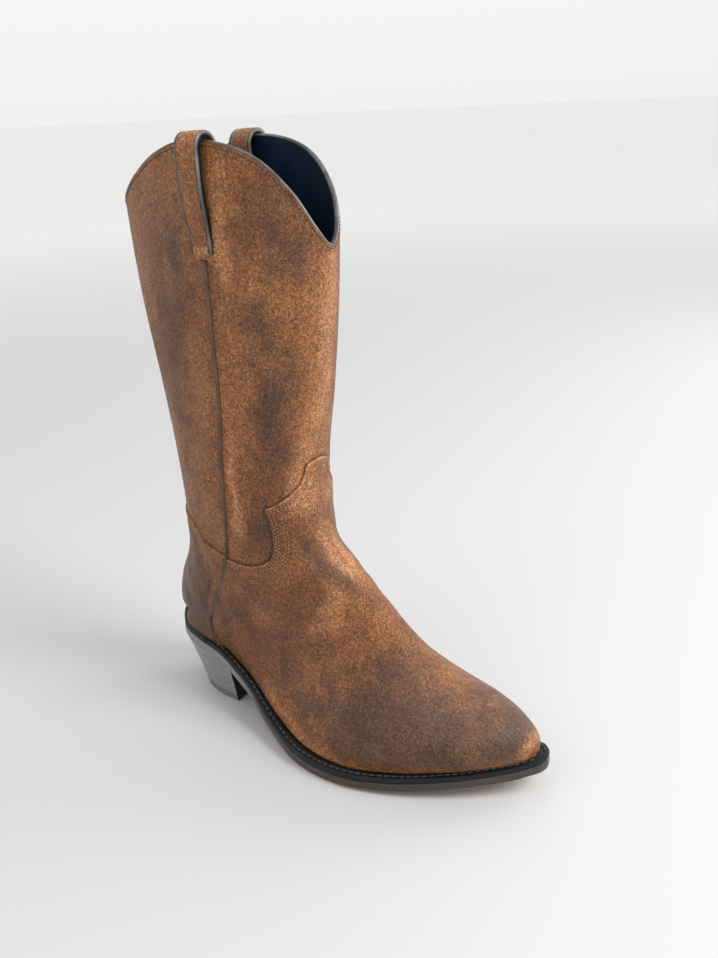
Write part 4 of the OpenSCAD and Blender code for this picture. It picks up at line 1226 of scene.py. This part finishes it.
heel_seat = np.vstack([heel_seat, np.column_stack([heel_seat[-1, 0] - hollow, breast_y, breast_y * 0])])


def heel_ring(z, shrink=0.0):
    """Outline of the heel at height z, which may be one height for each point."""
    z = np.broadcast_to(z, len(heel_seat))
    k = np.clip(1 - z / HEEL_DROP, 0, 1)[:, None]
    f = (heel_seat[:, 0] - SEAT_BACK_X) / (SEAT_BREAST_X - SEAT_BACK_X)
    ground_x = GROUND_BACK_X + (BREAST_X - GROUND_BACK_X) * f
    ground = np.column_stack([ground_x, heel_seat[:, 1] * GROUND_NARROWING])
    xy = heel_seat[:, :2] + (ground - heel_seat[:, :2]) * k * (1.25 - 0.25 * k)
    xy = xy + unit(xy.mean(0) - xy) * shrink
    return np.column_stack([xy, z])


def breast_faces(points, faces):
    """1 for the faces that look forward: the breast gets the welt's near-black leather."""
    a, b, c = (points[np.asarray(faces)[:, i]] for i in range(3))
    forward = np.abs(unit(np.cross(b - a, c - a))[:, 0]) > 0.7
    return (forward & ((a + b + c)[:, 0] / 3 > points[:, 0].mean())).astype(int)


def heel_piece(name, node, slot, material, z0, z1, bevel=0.12):
    """One layer of the heel. The top one ends in a height for each point, against the outsole."""
    rings = [heel_ring(z0, SHRINK), heel_ring(z0, bevel), heel_ring(z0 + bevel)]
    rings += [heel_ring(z0 + (z1 - z0) * k) for k in (0.25, 0.5, 0.75)]
    last = [heel_ring(z1 - bevel), heel_ring(z1, bevel), heel_ring(z1, SHRINK)]
    rings += [heel_ring(z1)] if np.ndim(z1) else last
    points, faces = loft(rings)
    kind = breast_faces(points, faces)
    piece(name, points, faces, [material, WELT_FACE], node, slot, face_material=kind, smooth_angle=40)


for i in [*range(2, LIFT_COUNT + 1), 1]:
    base = TOP_LIFT_THICK + (LIFT_COUNT - i) * LIFT_STEP + GLUE_LINE
    top = base + LIFT_STEP - 2 * GLUE_LINE
    if i == 1:
        top = seat_z(heel_ring(base)[:, 0]) - OUTSOLE_TOP - OUTSOLE_THICK - 0.05
    heel_piece(f"heel_lift_{i}_leather", f"heel_lift_{i}", "heel_leather", HEEL_SIDE, base, top)
top_lift_height = TOP_LIFT_THICK - GLUE_LINE
heel_piece("top_lift_rubber_piece", "top_lift", "top_lift_rubber", LIFT_RUBBER, 0, top_lift_height, 0.5)

# ---------- CAD pieces that stay ----------

KEPT = {
    "insole": BOARD, "heel_sock": LINING, "cork_filler": CORK, "shank": STEEL, "shank_cover": BOARD,
    "heel_nails": BRASS, "counter_stiffener": BOARD, "toe_puff": BOARD, "vamp_lining": LINING, "heel_lining": LINING,
}
for name, material in KEPT.items():
    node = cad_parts[name]
    node.data.materials.clear()
    node.data.materials.append(material)

# ---------- camera, floor and light ----------


def camera():
    data = bpy.data.cameras.new("camera")
    data.lens, data.sensor_width = 36.19, 36
    cam = bpy.data.objects.new("camera", data)
    bpy.context.scene.collection.objects.link(cam)
    turn, pitch, roll = math.radians(37.5), math.radians(21.2), math.radians(-2.8)
    ahead = Vector((-math.sin(turn) * math.cos(pitch), math.cos(turn) * math.cos(pitch), -math.sin(pitch)))
    right = Vector((math.cos(turn), math.sin(turn), 0))
    up = right.cross(ahead)
    r = right * math.cos(roll) + up * math.sin(roll)
    u = up * math.cos(roll) - right * math.sin(roll)
    cam.matrix_world = Matrix((r, u, -ahead)).transposed().to_4x4()
    cam.location = (0.3684, -0.4409, 0.4042)
    bpy.context.scene.camera = cam


def area_light(name, where, aim, size, power):
    data = bpy.data.lights.new(name, "AREA")
    data.shape, data.size, data.energy = "DISK", size, power
    light = bpy.data.objects.new(name, data)
    bpy.context.scene.collection.objects.link(light)
    light.location = where
    light.rotation_euler = (Vector(aim) - Vector(where)).to_track_quat("-Z", "Y").to_euler()


FLOOR_REACH, FLOOR_LEVEL = 60, -0.0003


def surroundings():
    """A wide pale floor, under a white sky that is as bright as the floor where they meet."""
    n = Nodes("floor")
    away = n.add("ShaderNodeVectorMath", {0: n.place}, operation="LENGTH").outputs["Value"]
    # The floor is painted darker near the boot, against the pool of light the lamps throw there, so that it looks
    # evenly bright.
    material = n.finish(n.mix(n.ramp(away, 0.5, 3.5), (0.535, 0.535, 0.535), (0.88, 0.88, 0.875)), 0.55)
    r, z = FLOOR_REACH, FLOOR_LEVEL
    mesh = bpy.data.meshes.new("floor")
    mesh.from_pydata([(-r, -r, z), (r, -r, z), (r, r, z), (-r, r, z)], [], [(0, 1, 2, 3)])
    mesh.materials.append(material)
    floor = bpy.data.objects.new("floor", mesh)
    bpy.context.scene.collection.objects.link(floor)
    world = bpy.data.worlds.new("studio")
    world.use_nodes = True
    nodes, links = world.node_tree.nodes, world.node_tree.links
    where = nodes.new("ShaderNodeTexCoord")
    apart = nodes.new("ShaderNodeSeparateXYZ")
    fade = nodes.new("ShaderNodeMapRange")
    for key, value in {"From Min": 0.0, "From Max": 0.12, "To Min": 0.88, "To Max": 0.92}.items():
        fade.inputs[key].default_value = value
    links.new(where.outputs["Generated"], apart.inputs[0])
    links.new(apart.outputs["Z"], fade.inputs["Value"])
    links.new(fade.outputs[0], nodes["Background"].inputs["Strength"])
    nodes["Background"].inputs["Color"].default_value = (1, 1, 1, 1)
    bpy.context.scene.world = world


camera()
surroundings()
area_light("key", (1.3, 0.25, 1.3), (0, 0, 0.15), 0.9, 27)
area_light("front_fill", (-0.6, -1.5, 1.2), (0, 0, 0.15), 1.0, 3)
area_light("rim", (0.7, 1.3, 0.7), (0, 0, 0.2), 0.7, 8)
bpy.context.scene.view_settings.view_transform = "Standard"
